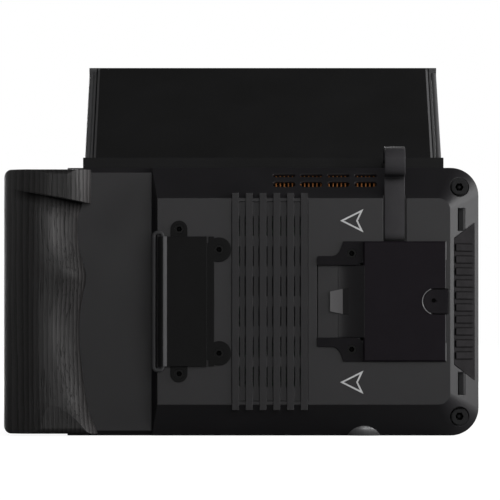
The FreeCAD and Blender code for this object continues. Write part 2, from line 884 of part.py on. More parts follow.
def fork_ear(side):
    """One arm of the fork: square at the plate, an S-curve down to a slim nose."""
    y = plateau_y

    def at(x, z):
        return Vector(x, y, mid_level + side * z)
    top = plate_half_height
    slope_start = at(-fork_shoulder_place, top)
    slope_end = at(-fork_shoulder_place - fork_curve_run, fork_outer)
    curve = Part.BezierCurve()
    lean = at(slope_start.x - fork_curve_run * fork_lean_share, top - (top - fork_outer) * fork_fall_share)
    sweep = at(slope_start.x - fork_curve_run * fork_sweep_share, fork_outer)
    curve.setPoles([slope_start, lean, sweep, slope_end])
    nose = fork_nose
    corner = nose * (1 - math.sqrt(1 / 2))
    bend = fork_fillet
    inner_x = -plate_left - bend
    sag = bend * math.sqrt(1 / 2)
    edges = [
        Part.makeLine(at(-plate_left, top), slope_start),
        curve.toShape(),
        Part.makeLine(slope_end, at(-fork_left + nose, fork_outer)),
        Part.Arc(at(-fork_left + nose, fork_outer), at(-fork_left + corner, fork_outer - corner),
                 at(-fork_left, fork_outer - nose)).toShape(),
        Part.makeLine(at(-fork_left, fork_outer - nose), at(-fork_left, fork_inner)),
        Part.makeLine(at(-fork_left, fork_inner), at(inner_x, fork_inner)),
        Part.Arc(at(inner_x, fork_inner), at(inner_x + sag, fork_inner + bend - sag),
                 at(-plate_left, fork_inner + bend)).toShape(),
        Part.makeLine(at(-plate_left, fork_inner + bend), at(-plate_left, top)),
    ]
    return Part.Face(Part.Wire(edges)).extrude(Vector(0, -fork_thickness, 0))


def fork_bracket():
    leaf_half = plate_half_height - leaf_inset
    leaf = block((-plate_left, plate_right - leaf_inset),
                 (plateau_y - leaf_thickness, plateau_y), (mid_level - leaf_half, mid_level + leaf_half))
    recess = block((-fork_left, -plate_left), (plateau_y - overrun, plateau_y + overrun),
                   (mid_level - fork_inner, mid_level + fork_inner))
    cuts = [recess, latch_outline(clearance, (plateau_y - overrun, plateau_y + overrun))]
    for x, z in fork_screw_places():
        cuts.append(small_screw_hole(x, z, plateau_y - fork_thickness))
    return leaf.fuse([fork_ear(1), fork_ear(-1)]).cut(cuts).removeSplitter()


def bracket_screws():
    return Part.makeCompound([small_screw(x, z, plateau_y - fork_thickness) for x, z in fork_screw_places()])


def accessory_plate():
    low = mid_level - plate_half_height
    high = mid_level + plate_half_height
    top_y = plateau_y - plate_rise
    plate = block((-plate_left + slip, plate_right), (top_y, plateau_y - leaf_thickness), (low, high))
    right_edges = [e for e in plate.Edges if e.BoundBox.YMax < top_y + slip]
    plate = plate.makeChamfer(plate_bevel, right_edges)
    half = plate_half_height * plate_relief_share
    through = (top_y - overrun, plateau_y + overrun)
    relief = block((plate_right - plate_relief, plate_right + overrun), through,
                   (mid_level - half, mid_level + half))
    return plate.cut([relief, latch_outline(clearance, through)])


def ramp_tongue():
    floor_y = plateau_y + recess_depth
    half = tongue_half_right
    side = [
        (-tongue_left, floor_y, mid_level - half),
        (-tongue_left, floor_y - tongue_rise, mid_level - half),
        (-tongue_knee, floor_y - tongue_knee_rise, mid_level - half),
        (-tongue_right, floor_y - tongue_knee_rise, mid_level - half),
        (-tongue_right, floor_y, mid_level - half),
    ]
    ramp = prism(side, Vector(0, 0, 2 * half))
    start_y = floor_y - tongue_rise - overrun
    plan = [
        (-tongue_left, start_y, mid_level - tongue_half_left),
        (-tongue_right, start_y, mid_level - half),
        (-tongue_right, start_y, mid_level + half),
        (-tongue_left, start_y, mid_level + tongue_half_left),
    ]
    return ramp.common(prism(plan, Vector(0, tongue_rise + 2 * overrun, 0)))


def release_latch():
    top_y = plateau_y - plate_rise + latch_sink
    tab = latch_outline(0, (top_y, top_y + latch_thickness))
    stem_end = plateau_y + latch_stem
    tab = tab.fuse(rod_y(latch_place, mid_level, latch_stem_radius, (top_y + latch_thickness / 2, stem_end)))
    dimple = rod_y(latch_place, mid_level, dimple_radius, (top_y - overrun, top_y + dimple_depth))
    return tab.cut(dimple).removeSplitter()


def ribbon_path():
    """Up the channel, folded out, round the loop, over the top edge and down into the gland."""
    x = ribbon_centre
    y = plateau_y + ribbon_thickness / 2
    fold = ribbon_fold_radius
    level = body_height - ribbon_fold_drop
    out_y = y - fold - ribbon_fold_reach
    loop = ribbon_loop_radius
    drop = ribbon_drop_radius
    high = level + 2 * loop
    down_y = ribbon_entry_depth
    corner = math.sqrt(1 / 2)

    def at(depth, height):
        return Vector(x, depth, height)
    start = mid_level + plate_half_height + clearance
    edges = [
        Part.makeLine(at(y, start), at(y, level - fold)),
        Part.Arc(at(y, level - fold), at(y - fold * (1 - corner), level - fold * (1 - corner)),
                 at(y - fold, level)).toShape(),
        Part.makeLine(at(y - fold, level), at(out_y, level)),
        Part.Arc(at(out_y, level), at(out_y - loop, level + loop), at(out_y, high)).toShape(),
        Part.makeLine(at(out_y, high), at(down_y - drop, high)),
        Part.Arc(at(down_y - drop, high), at(down_y - drop * (1 - corner), high - drop * (1 - corner)),
                 at(down_y, high - drop)).toShape(),
        Part.makeLine(at(down_y, high - drop), at(down_y, body_height)),
    ]
    return Part.Wire(edges)


def ribbon():
    path = ribbon_path()
    start = path.Edges[0].Vertexes[0].Point
    half_x = ribbon_width / 2
    half_y = ribbon_thickness / 2
    corners = [
        start + Vector(-half_x, -half_y, 0),
        start + Vector(half_x, -half_y, 0),
        start + Vector(half_x, half_y, 0),
        start + Vector(-half_x, half_y, 0),
    ]
    ring = Part.makePolygon(corners + corners[:1])
    return path.makePipeShell([ring], True, False)


def ribbon_gland():
    half = ribbon_width / 2
    depth = ribbon_thickness / 2
    collar = block((ribbon_centre - half - gland_margin / 2, ribbon_centre + half + gland_margin / 2),
                   (ribbon_entry_depth - depth - gland_margin, ribbon_entry_depth + depth + gland_margin),
                   (body_height, body_height + gland_height))
    slot = block((ribbon_centre - half - slip, ribbon_centre + half + slip),
                 (ribbon_entry_depth - depth - slip, ribbon_entry_depth + depth + slip),
                 (body_height - overrun, body_height + gland_height + overrun))
    return collar.cut(slot)


def side_grip_pad():
    base = pad_prism(0, pad_depth)
    base.translate(Vector(0, 0, -pad_depth))
    length = math.hypot(side_slope_run, plateau_rise)
    width = length * (pad_right_share - pad_left_share) - 2 * pad_rib_margin
    centre = length * (pad_left_share + pad_right_share) / 2
    ribs = []
    for step in range(pad_rib_count):
        z = (step - (pad_rib_count - 1) / 2) * pad_rib_pitch
        radius = pad_rib_height / 2
        ribs.append(Part.makeBox(width - radius, pad_rib_height, pad_rib_rise,
                                 Vector(centre - width / 2, z - radius, 0)))
        ribs.append(Part.makeCylinder(radius, pad_rib_rise, Vector(centre + width / 2 - radius, z, 0)))
    return side_plane(base.fuse(ribs).removeSplitter(), 0, mid_level)


def corner_screws():
    screws = []
    for z in case_screw_levels:
        head_y = -counterbore_floor - case_head
        screws.append(rear_screw(case_screw_place, z, head_y, case_head_radius, case_head, case_shank_radius,
                                 case_shank, case_socket_radius, case_socket_depth))
    return Part.makeCompound(screws)


def screen_block(width, height, y_pair):
    return block((-screen_centre - width / 2, -screen_centre + width / 2), y_pair,
                 (screen_level - height / 2, screen_level + height / 2))


def ledge_front():
    return front_y - glass_thickness - gasket_thickness


def button_cut(level):
    hole = rod_y(button_place, level, button_radius + clearance, (split_y - overrun, front_y + overrun))
    skirt_end = front_y + button_rise - button_length + button_skirt_length + clearance
    skirt_radius = button_radius + button_skirt + clearance
    skirt = rod_y(button_place, level, skirt_radius, (split_y - overrun, skirt_end))
    return hole.fuse(skirt)


def front_bezel():
    bezel = slab((-shell_left, body_right), (0, body_height), (split_y, front_y), corner_radius)
    rim = [e for e in bezel.Edges
           if e.BoundBox.YMin > front_y - slip and e.BoundBox.XMax > -shell_left + slip]
    bezel = bezel.makeFillet(bezel_round, rim)
    ledge_y = ledge_front()
    room = 2 * (lcd_border + clearance)
    cuts = [
        screen_block(glass_width + 2 * clearance, glass_height + 2 * clearance, (ledge_y, front_y + overrun)),
        screen_block(active_width, active_height, (split_y - overrun, front_y + overrun)),
        screen_block(active_width + room, active_height + room,
                     (split_y - overrun, ledge_y - ledge_thickness)),
    ]
    for level in (power_level,) + function_levels:
        cuts.append(button_cut(level))
    for z in case_screw_levels:
        end = -counterbore_floor + case_shank + clearance
        cuts.append(rod_y(case_screw_place, z, case_shank_radius + slip, (split_y - overrun, end)))
    return bezel.cut(cuts).removeSplitter()


def cover_glass():
    return screen_block(glass_width, glass_height, (front_y - glass_thickness, front_y))


def screen_gasket():
    y_pair = (ledge_front(), front_y - glass_thickness)
    outer = screen_block(glass_width, glass_height, y_pair)
    inner = screen_block(glass_width - 2 * gasket_width, glass_height - 2 * gasket_width,
                         (y_pair[0] - overrun, y_pair[1] + overrun))
    return outer.cut(inner)


def lcd_panel():
    face_y = ledge_front() - ledge_thickness
    frame = 2 * lcd_border
    return screen_block(active_width + frame, active_height + frame, (face_y - lcd_thickness, face_y))


def main_board():
    face = board_rear + board_thickness
    board = block((-board_left, board_right), (board_rear, face), (board_bottom, board_top))
    holes = [rod_y(x, z, board_screw_radius + slip, (board_rear - overrun, face + overrun))
             for x, z in board_post_places()]
    return board.cut(holes)


def board_screws():
    screws = []
    face = board_rear + board_thickness
    for x, z in board_post_places():
        head = rod_y(x, z, board_head_radius, (face, face + board_head))
        shank = rod_y(x, z, board_screw_radius, (face - board_screw_length, face + board_head / 2))
        screws.append(head.fuse(shank).removeSplitter())
    return Part.makeCompound(screws)


def under_top_slope(from_edge, depth):
    """Y and Z of a point under the top slope, at a distance down it and a depth below it."""
    length = math.hypot(plateau_rise, slope_run)
    rise = plateau_rise / length
    run = slope_run / length
    return base_y - from_edge * rise + depth * run, body_height - from_edge * run - depth * rise


def heat_sink():
    """Base on the board and thin fins whose rear edges lie just under the vent slots."""
    base = block((-sink_left, sink_right), (board_rear - sink_base, board_rear), (sink_bottom, board_top))
    front = board_rear - sink_base
    deep = plateau_y + wall + fin_top_gap
    knee = plateau_top_z - wall * plateau_wall_share - fin_top_gap
    land = vent_wall + fin_top_gap
    low = vent_pocket_low - fin_land_in
    high = vent_pocket_high + fin_land_in
    slope_points = [
        under_top_slope(low, land + fin_tuck),
        under_top_slope(low, land),
        under_top_slope(high, land),
        under_top_slope(high, land + fin_tuck),
    ]
    count = int((sink_left + sink_right - fin_thickness) / fin_pitch) + 1
    fins = []
    for step in range(count):
        x = -sink_left + step * fin_pitch
        side = [
            (x, front, sink_bottom),
            (x, deep, sink_bottom),
            (x, deep, knee),
        ]
        side += [(x, y, z) for y, z in slope_points]
        side.append((x, front, slope_points[-1][1]))
        fins.append(prism(side, Vector(fin_thickness, 0, 0)))
    return base.fuse(fins).removeSplitter()


def blower_housing():
    half = blower_half
    rear = board_rear - blower_depth
    case = block((-blower_place - half, -blower_place + half), (rear, board_rear),
                 (blower_level - half, blower_level + half))
    room = half - blower_wall
    hollow = rod_y(-blower_place, blower_level, room, (rear + blower_wall, board_rear - blower_wall))
    outlet = block((-blower_place, -blower_place + room), (rear + blower_wall, board_rear - blower_wall),
                   (blower_level, blower_level + half + overrun))
    intake = rod_y(-blower_place, blower_level, intake_radius, (rear - overrun, rear + blower_wall + overrun))
    spindle = rod_y(-blower_place, blower_level, spindle_radius,
                    (rear + 2 * blower_wall, board_rear - blower_wall / 2))
    return case.cut([hollow, outlet, intake]).fuse(spindle).removeSplitter()


def blower_rotor():
    rear = board_rear - blower_depth
    y_pair = (rear + blower_wall + rotor_axial_gap, board_rear - blower_wall - rotor_axial_gap)
    hub = rod_y(-blower_place, blower_level, rotor_hub_radius, y_pair)
    disc = rod_y(-blower_place, blower_level, rotor_radius, (y_pair[1] - blower_wall, y_pair[1]))
    blades = []
    for step in range(rotor_blades):
        blade = block((blade_inner_radius, rotor_radius - blade_thickness), y_pair,
                      (-blade_thickness / 2, blade_thickness / 2))
        blade.rotate(Vector(0, 0, 0), Vector(0, 1, 0), step * 360 / rotor_blades)
        blade.translate(Vector(-blower_place, 0, blower_level))
        blades.append(blade)
    bore = rod_y(-blower_place, blower_level, spindle_radius + slip,
                 (y_pair[0] - overrun, y_pair[1] + overrun))
    return hub.fuse([disc] + blades).cut(bore).removeSplitter()


def side_socket(width, height, level):
    """Metal-shelled socket open toward +X, with a tongue in its mouth."""
    outer = rounded_bar(width, height, socket_length)
    mouth = rounded_bar(width - 2 * socket_shell, height - 2 * socket_shell, socket_length)
    mouth.translate(Vector(0, 0, socket_length / 2))
    tongue = Part.makeBox(width - 2 * height, socket_tongue, socket_length,
                          Vector(height - width / 2, -socket_tongue / 2, -socket_flush))
    tongue = tongue.common(outer)
    body = outer.cut(mouth).fuse(tongue).removeSplitter()
    origin = Vector(body_right - socket_flush - socket_length, socket_depth_place, level)
    return on_plane(body, origin, (0, 0, 1), (0, -1, 0))


def signal_socket():
    return side_socket(signal_width, signal_height, signal_level)


def usb_socket():
    return side_socket(usb_width, usb_height, usb_level)


def push_button(level):
    face = front_y + button_rise
    back = face - button_length
    body = rod_y(button_place, level, button_radius, (back, face))
    skirt = rod_y(button_place, level, button_radius + button_skirt, (back, back + button_skirt_length))
    crown = [e for e in body.Edges if e.BoundBox.YMin > face - slip]
    return body.makeChamfer(button_crown, crown).fuse(skirt).removeSplitter()


def key_switches():
    """Small switches on the joint face of the shell, one behind each front button."""
    half = switch_size / 2
    stop = front_y + button_rise - button_length - button_travel - switch_gap
    switches = []
    for level in (power_level,) + function_levels:
        switches.append(block((button_place - half, button_place + half), (split_y, stop),
                              (level - half, level + half)))
    return Part.makeCompound(switches)


def record_button():
    face = front_y + button_rise
    body = rod_y(-dial_place, record_level, record_radius, (face - button_length, face))
    ring = rod_y(-dial_place, record_level, record_radius - record_ring,
                 (face - button_skirt / 2, face + overrun))
    return body.cut(ring)


def menu_dial():
    low = front_y - dial_sink + clearance
    high = low + dial_height
    rim = []
    for step in range(2 * dial_knurls):
        angle = math.pi * step / dial_knurls
        reach = dial_radius - knurl_depth * (1 + step % 2)
        rim.append((-dial_place + reach * math.cos(angle), low, dial_level + reach * math.sin(angle)))
    body = prism(rim, Vector(0, dial_height, 0))
    cap = rod_y(-dial_place, dial_level, dial_radius, (low - overrun, high))
    crown = [e for e in cap.Edges if e.BoundBox.YMin > high - slip]
    body = body.common(cap.makeChamfer(dial_crown, crown))
    bore = rod_y(-dial_place, dial_level, dial_shaft_radius + slip, (low - overrun, high - dial_height / 2))
    return body.cut(bore)


def dial_shaft():
    low = front_y - dial_sink - dial_shaft_seat
    high = front_y - dial_sink + dial_height / 2
    return rod_y(-dial_place, dial_level, dial_shaft_radius, (low, high))


def raised(shape):
    """Turn a hood piece, drawn level from its hinge, up to its open stop."""
    turned = shape.copy()
    turned.rotate(Vector(0, 0, 0), Vector(1, 0, 0), hood_raise)
    turned.translate(Vector(0, hood_hinge_depth, hood_hinge_level))
    return turned


def hood_lug_profile(x):
    rear = front_y - hood_base_depth
    top = body_height + hood_base_height
    nose = hood_hinge_depth + hood_lug_nose
    face = front_y + clearance
    return [
        (x, rear, body_height),
        (x, rear, top),
        (x, front_y, top),
        (x, nose, body_height),
        (x, nose, hood_hinge_level - lug_drop),
        (x, face, hood_hinge_level - lug_drop),
        (x, face, body_height),
    ]


def hood_base():
    rear = front_y - hood_base_depth
    bar = block((-hood_left, hood_right), (rear, front_y), (body_height, body_height + hood_base_sheet))
    upstand = block((-hood_left, hood_right), (rear, rear + hood_base_wall),
                    (body_height, body_height + hood_base_height))
    lugs = [prism(hood_lug_profile(x), Vector(hood_lug, 0, 0)) for x in (-hood_left, hood_right - hood_lug)]
    hole = rod_x(hood_hinge_depth, hood_hinge_level, hood_pin_radius + slip / 2,
                 (-hood_left - overrun, hood_right + overrun))
    return bar.fuse([upstand] + lugs).cut(hole).removeSplitter()


def hood_hinge_pin():
    return rod_x(hood_hinge_depth, hood_hinge_level, hood_pin_radius, (-hood_left, hood_right))


def barrel_places():
    return -hood_left + flap_barrel_radius, hood_right - flap_barrel_radius


def hood_panel():
    half = hood_sheet / 2
    left = -hood_left + hood_lug + clearance
    right = hood_right - hood_lug - clearance
    section = [
        (left, 0, -half),
        (right, 0, -half),
        (right, 0, half - hood_bevel / 2),
        (right - hood_bevel, 0, half),
        (left + hood_bevel, 0, half),
        (left, 0, half - hood_bevel / 2),
    ]
    panel = prism(section, Vector(0, hood_length, 0))
    knuckle = rod_x(0, 0, hood_knuckle_radius, (left, right))
    ends = []
    low = -half - flap_drop - flap_barrel_radius
    for start, stop in ((hood_wing_start, flap_start - clearance), (hood_length - hood_tip, hood_length)):
        ends.append(block((-hood_left, left + hood_bevel), (start, stop), (low, half)))
        ends.append(block((right - hood_bevel, hood_right), (start, stop), (low, half)))
    lip_top = -half + hood_sheet * hood_lip_share
    for x_pair in ((left - hood_lip, left), (right, right + hood_lip)):
        ends.append(block(x_pair, (hood_wing_start, hood_length), (-half, lip_top)))
    cuts = [rod_x(0, 0, hood_pin_radius + slip, (-hood_left - overrun, hood_right + overrun))]
    for x in barrel_places():
        cuts.append(rod_y(x, -half - flap_drop, flap_pin_radius + slip / 2,
                          (-overrun, hood_length + overrun)))
    return raised(panel.fuse([knuckle] + ends).cut(cuts).removeSplitter())


def flap_hinge_pins():
    level = -hood_sheet / 2 - flap_drop
    pins = [raised(rod_y(x, level, flap_pin_radius, (hood_wing_start, hood_length))) for x in barrel_places()]
    return Part.makeCompound(pins)


def hood_flap(x):
    """Side flap: a barrel on its pin and a leaf cut back at 45 degrees so that it clears the screen."""
    level = -hood_sheet / 2 - flap_drop
    stop = hood_length - hood_tip - clearance
    barrel = rod_y(x, level, flap_barrel_radius, (flap_start, stop))
    low = level - flap_depth
    leaf = [
        (x - flap_sheet / 2, flap_start, level),
        (x - flap_sheet / 2, flap_start + flap_depth, low),
        (x - flap_sheet / 2, stop - flap_corner, low),
        (x - flap_sheet / 2, stop, low + flap_corner),
        (x - flap_sheet / 2, stop, level),
    ]
    flap = barrel.fuse(prism(leaf, Vector(flap_sheet, 0, 0)))
    bore = rod_y(x, level, flap_pin_radius + slip, (flap_start - overrun, stop + overrun))
    return raised(flap.cut(bore).removeSplitter())


pieces = {
    "rear_shell": rear_shell,
    "vent_grille": vent_grille,
    "tripod_insert": tripod_insert,
    "wood_grip": wood_grip,
    "grip_bolts": grip_bolts,
    "strap_plate": strap_plate,
    "strap_plate_screws": strap_plate_screws,
    "strap_bail": strap_bail,
    "fork_bracket": fork_bracket,
    "bracket_screws": bracket_screws,
    "accessory_plate": accessory_plate,
    "ramp_tongue": ramp_tongue,
    "release_latch": release_latch,
    "ribbon": ribbon,
    "ribbon_gland": ribbon_gland,
    "side_grip_pad": side_grip_pad,
    "corner_screws": corner_screws,
    "front_bezel": front_bezel,
    "cover_glass": cover_glass,
    "screen_gasket": screen_gasket,
    "lcd_panel": lcd_panel,
    "main_board": main_board,
    "board_screws": board_screws,
    "heat_sink": heat_sink,
    "blower_housing": blower_housing,
    "blower_rotor": blower_rotor,
    "signal_socket": signal_socket,
    "usb_socket": usb_socket,
    "power_button": lambda: push_button(power_level),
    "function_button_upper": lambda: push_button(function_levels[0]),
    "function_button_lower": lambda: push_button(function_levels[1]),
    "key_switches": key_switches,
    "record_button": record_button,
    "menu_dial": menu_dial,
    "dial_shaft": dial_shaft,
    "hood_base": hood_base,
    "hood_hinge_pin": hood_hinge_pin,
    "hood_panel": hood_panel,
    "flap_hinge_pins": flap_hinge_pins,
    "hood_left_flap": lambda: hood_flap(barrel_places()[0]),
    "hood_right_flap": lambda: hood_flap(barrel_places()[1]),
}

os.makedirs("parts", exist_ok=True)
for name, make in pieces.items():
    shape = make()
    solids = len(shape.Solids)
    print(name, "solids", solids, "valid", shape.isValid(), "volume", round(shape.Volume, 1))
    shape.exportStep("parts/" + name + ".step")
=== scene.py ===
# %% [markdown]
# # Dressing a camera field monitor
# The solids of the monitor come from its CAD source, already in place and in metres.
# This lesson gives every solid the finish of the real piece, adds the small pieces that
# are soft, printed, threaded or fitted, and sets the light and the camera for a plain rear
# view. The solids are never moved, so a finish can be worked out from real millimetres.

# %% Load the frame
import json
import math
import bmesh
import bpy
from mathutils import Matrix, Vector


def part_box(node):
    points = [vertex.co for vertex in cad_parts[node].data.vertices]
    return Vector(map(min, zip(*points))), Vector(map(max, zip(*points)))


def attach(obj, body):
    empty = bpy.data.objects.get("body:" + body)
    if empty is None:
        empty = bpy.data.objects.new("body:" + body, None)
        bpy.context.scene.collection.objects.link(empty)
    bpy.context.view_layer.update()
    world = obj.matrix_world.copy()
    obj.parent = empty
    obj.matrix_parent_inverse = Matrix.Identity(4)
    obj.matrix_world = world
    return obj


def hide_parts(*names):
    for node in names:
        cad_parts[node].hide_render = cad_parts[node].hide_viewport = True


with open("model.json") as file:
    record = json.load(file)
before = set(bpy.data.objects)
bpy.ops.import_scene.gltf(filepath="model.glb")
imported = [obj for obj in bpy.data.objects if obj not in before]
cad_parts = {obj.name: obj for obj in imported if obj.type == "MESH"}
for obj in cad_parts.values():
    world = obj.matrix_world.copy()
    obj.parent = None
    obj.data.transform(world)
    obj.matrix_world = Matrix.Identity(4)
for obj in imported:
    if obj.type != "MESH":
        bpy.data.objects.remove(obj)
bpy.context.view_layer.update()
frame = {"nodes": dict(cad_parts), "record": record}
MM = 0.001

# %% [markdown]
# ## Colour and nodes
# Colours are written as sRGB hex values, the way a colour card gives them, and a shader
# wants linear light. One function does that change. One more adds a node, sets it and
# links it, so that each finish below reads as a list of what is in it.

# %% Colour


def linear(hex_colour):
    """sRGB hex to linear RGBA."""
    parts = [int(hex_colour[i:i + 2], 16) / 255 for i in (1, 3, 5)]
    return [c / 12.92 if c <= 0.04045 else ((c + 0.055) / 1.055) ** 2.4 for c in parts] + [1.0]


print("linear mid grey", [round(c, 3) for c in linear("#808080")])

# %% Node helpers


def plug(tree, socket, value):
    """Links a socket to another one, or sets its plain value."""
    if isinstance(value, bpy.types.NodeSocket):
        tree.links.new(value, socket)
    else:
        socket.default_value = value


def add(tree, kind, links=(), **settings):
    """Adds one shader node with its settings; links maps a socket to a value or to another socket."""
    made = tree.nodes.new("ShaderNode" + kind)
    for name, value in settings.items():
        setattr(made, name, value)
    for socket, value in dict(links).items():
        plug(tree, made.inputs[socket], value)
    return made


def start_finish(name):
    """A new material with its shader and the piece's own coordinates."""
    material = bpy.data.materials.new(name)
    material.use_nodes = True
    tree = material.node_tree
    place = add(tree, "TexCoord")
    return material, tree, tree.nodes["Principled BSDF"], place.outputs["Object"]


def wire(tree, shader, **sockets):
    """Links or sets the shader's sockets, with underscores for the spaces in their names."""
    for name, value in sockets.items():
        plug(tree, shader.inputs[name.replace("_", " ")], value)


def repeats(sizes_mm):
    """The scale of a pattern whose features have these sizes along X, Y and Z."""
    return [1 / (size * MM) for size in sizes_mm]


print("scale for 2 mm features", repeats([2.0]))

# %% [markdown]
# ## Edges and corners
# A real moulding or pressing has no knife edges: a radius of a few tenths of a millimetre
# runs along each one and shows as a thin bright line. The solids could be bevelled one by
# one, but that multiplies their faces. Here the shader rounds the normal near an edge,
# and where the rounded normal leaves the flat one, it also tells where handling rubs.
# Sockets and creases are the other way about: there the colour is darkened as painted shade, more where walls
# hem them in more closely.

# %% Rubbed edges and painted shade in corners
EDGE_SAMPLES = 6
CORNER_SAMPLES = 8


def soft_edge(tree, radius_mm):
    """The rounded normal, and a mask that rises to 1 along the edges."""
    rounded = add(tree, "Bevel", {"Radius": radius_mm * MM}, samples=EDGE_SAMPLES)
    flat = add(tree, "NewGeometry")
    turn = add(tree, "VectorMath", {0: rounded.outputs["Normal"], 1: flat.outputs["Normal"]},
               operation="DOT_PRODUCT")
    mask = add(tree, "MapRange", {"Value": turn.outputs["Value"], "From Min": 0.99, "From Max": 0.8})
    return rounded.outputs["Normal"], mask.outputs["Result"]


def unshaded_share(tree, reach_mm):
    """A painted shade mask: 1 on open surface, falling to 0 where walls hem it in within the reach."""
    hemmed = add(tree, "AmbientOcclusion", {"Distance": reach_mm * MM}, samples=CORNER_SAMPLES)
    share = add(tree, "MapRange", {"Value": hemmed.outputs["AO"], "From Min": 0.7, "From Max": 0.95})
    return share.outputs["Result"]


print("samples on edges", EDGE_SAMPLES, "in corners", CORNER_SAMPLES)

# %% [markdown]
# ## Moulded plastic
# Housing, bezel, hood, buttons and latch are injection moulded in glass-filled ABS or
# polycarbonate from spark-eroded tools. That leaves a fine matt grain, about 0.1 mm on the
# real piece and drawn coarser here so that it shows. Large soft blotches stand for handling,
# and the edges are a little paler where they rub. Noise in the piece's own coordinates does
# this without unwrapping, and it runs on over every edge as a real grain does.

# %% Moulded plastic
TOUCH_MM = 24.0
RUB_SHARE = 0.6


def moulded(name, base, rubbed, grain_mm, relief_mm, rough, shine, edge_mm):
    """To the eye a matt dark surface, faintly blotched, with a paler line along its edges."""
    material, tree, shader, place = start_finish(name)
    grain = add(tree, "TexNoise", {"Vector": place, "Scale": 1 / (grain_mm * MM), "Detail": 3.0})
    touch = add(tree, "TexNoise", {"Vector": place, "Scale": 1 / (TOUCH_MM * MM), "Detail": 4.0})
    edge, worn = soft_edge(tree, edge_mm)
    blotch = add(tree, "MapRange", {"Value": touch.outputs["Fac"], "From Min": 0.35, "From Max": 0.7,
                                    "To Max": 0.3})
    speck = add(tree, "MapRange", {"Value": grain.outputs["Fac"], "From Min": 0.3, "From Max": 0.7,
                                   "To Max": 0.25})
    share = add(tree, "Math", {0: blotch.outputs["Result"], 1: speck.outputs["Result"]}, operation="ADD")
    rub = add(tree, "Math", {0: worn, 1: RUB_SHARE}, operation="MULTIPLY")
    most = add(tree, "Math", {0: share.outputs[0], 1: rub.outputs[0]}, operation="MAXIMUM")
    tone = add(tree, "Mix", {0: most.outputs[0], 6: linear(base), 7: linear(rubbed)}, data_type="RGBA")
    dull = add(tree, "MapRange", {"Value": touch.outputs["Fac"], "To Min": rough - 0.08,
                                  "To Max": rough + 0.08})
    bump = add(tree, "Bump", {"Height": grain.outputs["Fac"], "Distance": relief_mm * MM, "Normal": edge})
    wire(tree, shader, Base_Color=tone.outputs[2], Roughness=dull.outputs["Result"],
         Normal=bump.outputs["Normal"], IOR=1.52, Specular_IOR_Level=shine)
    return material


# Real material, base and rubbed tones, grain and relief in mm, roughness, shine, edge radius in mm.
MOULDINGS = {
    "shell": ("spark_eroded_polycarbonate", "#1a191b", "#252426", 0.5, 0.02, 0.45, 0.26, 0.5),
    "bezel": ("spark_eroded_polycarbonate_dark", "#232325", "#343437", 0.5, 0.02, 0.55, 0.25, 0.4),
    "latch_plastic": ("satin_black_acetal", "#121013", "#343235", 0.4, 0.01, 0.5, 0.04, 0.4),
    "button_plastic": ("satin_black_button", "#1d1d1f", "#3a3a3d", 0.4, 0.01, 0.4, 0.3, 0.2),
    "record_plastic": ("red_polycarbonate", "#8a1712", "#b0362c", 0.5, 0.01, 0.32, 0.4, 0.2),
    "blower_plastic": ("black_glass_filled_nylon", "#151516", "#29292b", 0.5, 0.03, 0.6, 0.2, 0.35),
    "rotor_plastic": ("black_rotor_nylon", "#1a1a1b", "#2d2d2f", 0.5, 0.02, 0.55, 0.2, 0.35),
}
finishes = {slot: moulded(*values) for slot, values in MOULDINGS.items()}
print("moulded finishes", len(finishes))

# %% [markdown]
# ## Painted highlights on the hood
# The hood is a thin panel with lips along its sides and two flaps that turn on round barrels. Pale bands are
# a painted highlight along the lips and barrels, where their rounded sides catch the light. A mask could be
# painted on each piece, but a distance from a plane in the piece's own coordinates finds the same places, has
# crisp edges and goes along when the hood folds.

# %% Painted highlight bands
HOOD_RAISE = math.radians(32)
HOOD_UP = Vector((0, -math.sin(HOOD_RAISE), math.cos(HOOD_RAISE)))
HOOD_CENTRE = -42.0
HOOD_BANDS = [(71.3, 72.2), (72.8, 76.1)]
HOOD_TONES = ("#1e1e1e", "#272728")
# The pale tone of the painted highlight on the hood's lips and barrels.
HOOD_HIGHLIGHT = "#565657"
FLAP_BARREL = 2.5


def highlight_bands(material, way, bands, tone, centre=(0, 0, 0)):
    """Painted highlight: pale bands, each between two distances in mm from the centre, along the way."""
    tree, shader = material.node_tree, material.node_tree.nodes["Principled BSDF"]
    colour = shader.inputs["Base Color"].links[0].from_socket
    place = add(tree, "TexCoord")
    off = add(tree, "VectorMath", {0: place.outputs["Object"], 1: centre}, operation="SUBTRACT")
    reach = add(tree, "VectorMath", {0: off.outputs["Vector"], 1: way}, operation="DOT_PRODUCT")
    reach = add(tree, "Math", {0: reach.outputs["Value"]}, operation="ABSOLUTE")
    for low, high in bands:
        middle, half = (low + high) / 2 * MM, (high - low) / 2 * MM
        inside = add(tree, "Math", {0: reach.outputs[0], 1: middle, 2: half}, operation="COMPARE")
        mixed = add(tree, "Mix", {0: inside.outputs[0], 6: colour, 7: linear(tone)}, data_type="RGBA")
        colour = mixed.outputs[2]
    wire(tree, shader, Base_Color=colour)


panel_plastic = moulded("matt_black_panel_plastic", *HOOD_TONES, 0.6, 0.015, 0.6, 0.02, 0.25)
highlight_bands(panel_plastic, (1, 0, 0), HOOD_BANDS, HOOD_HIGHLIGHT, centre=(HOOD_CENTRE * MM, 0, 0))
flap_plastic = moulded("satin_black_flap_plastic", *HOOD_TONES, 0.6, 0.01, 0.5, 0.06, 0.25)
flap_top = max(vertex.co.dot(HOOD_UP) for vertex in frame["nodes"]["hood_left_flap"].data.vertices) / MM
highlight_bands(flap_plastic, HOOD_UP, [(flap_top - FLAP_BARREL, flap_top)], HOOD_HIGHLIGHT)
print("flap top mm", round(flap_top, 2))
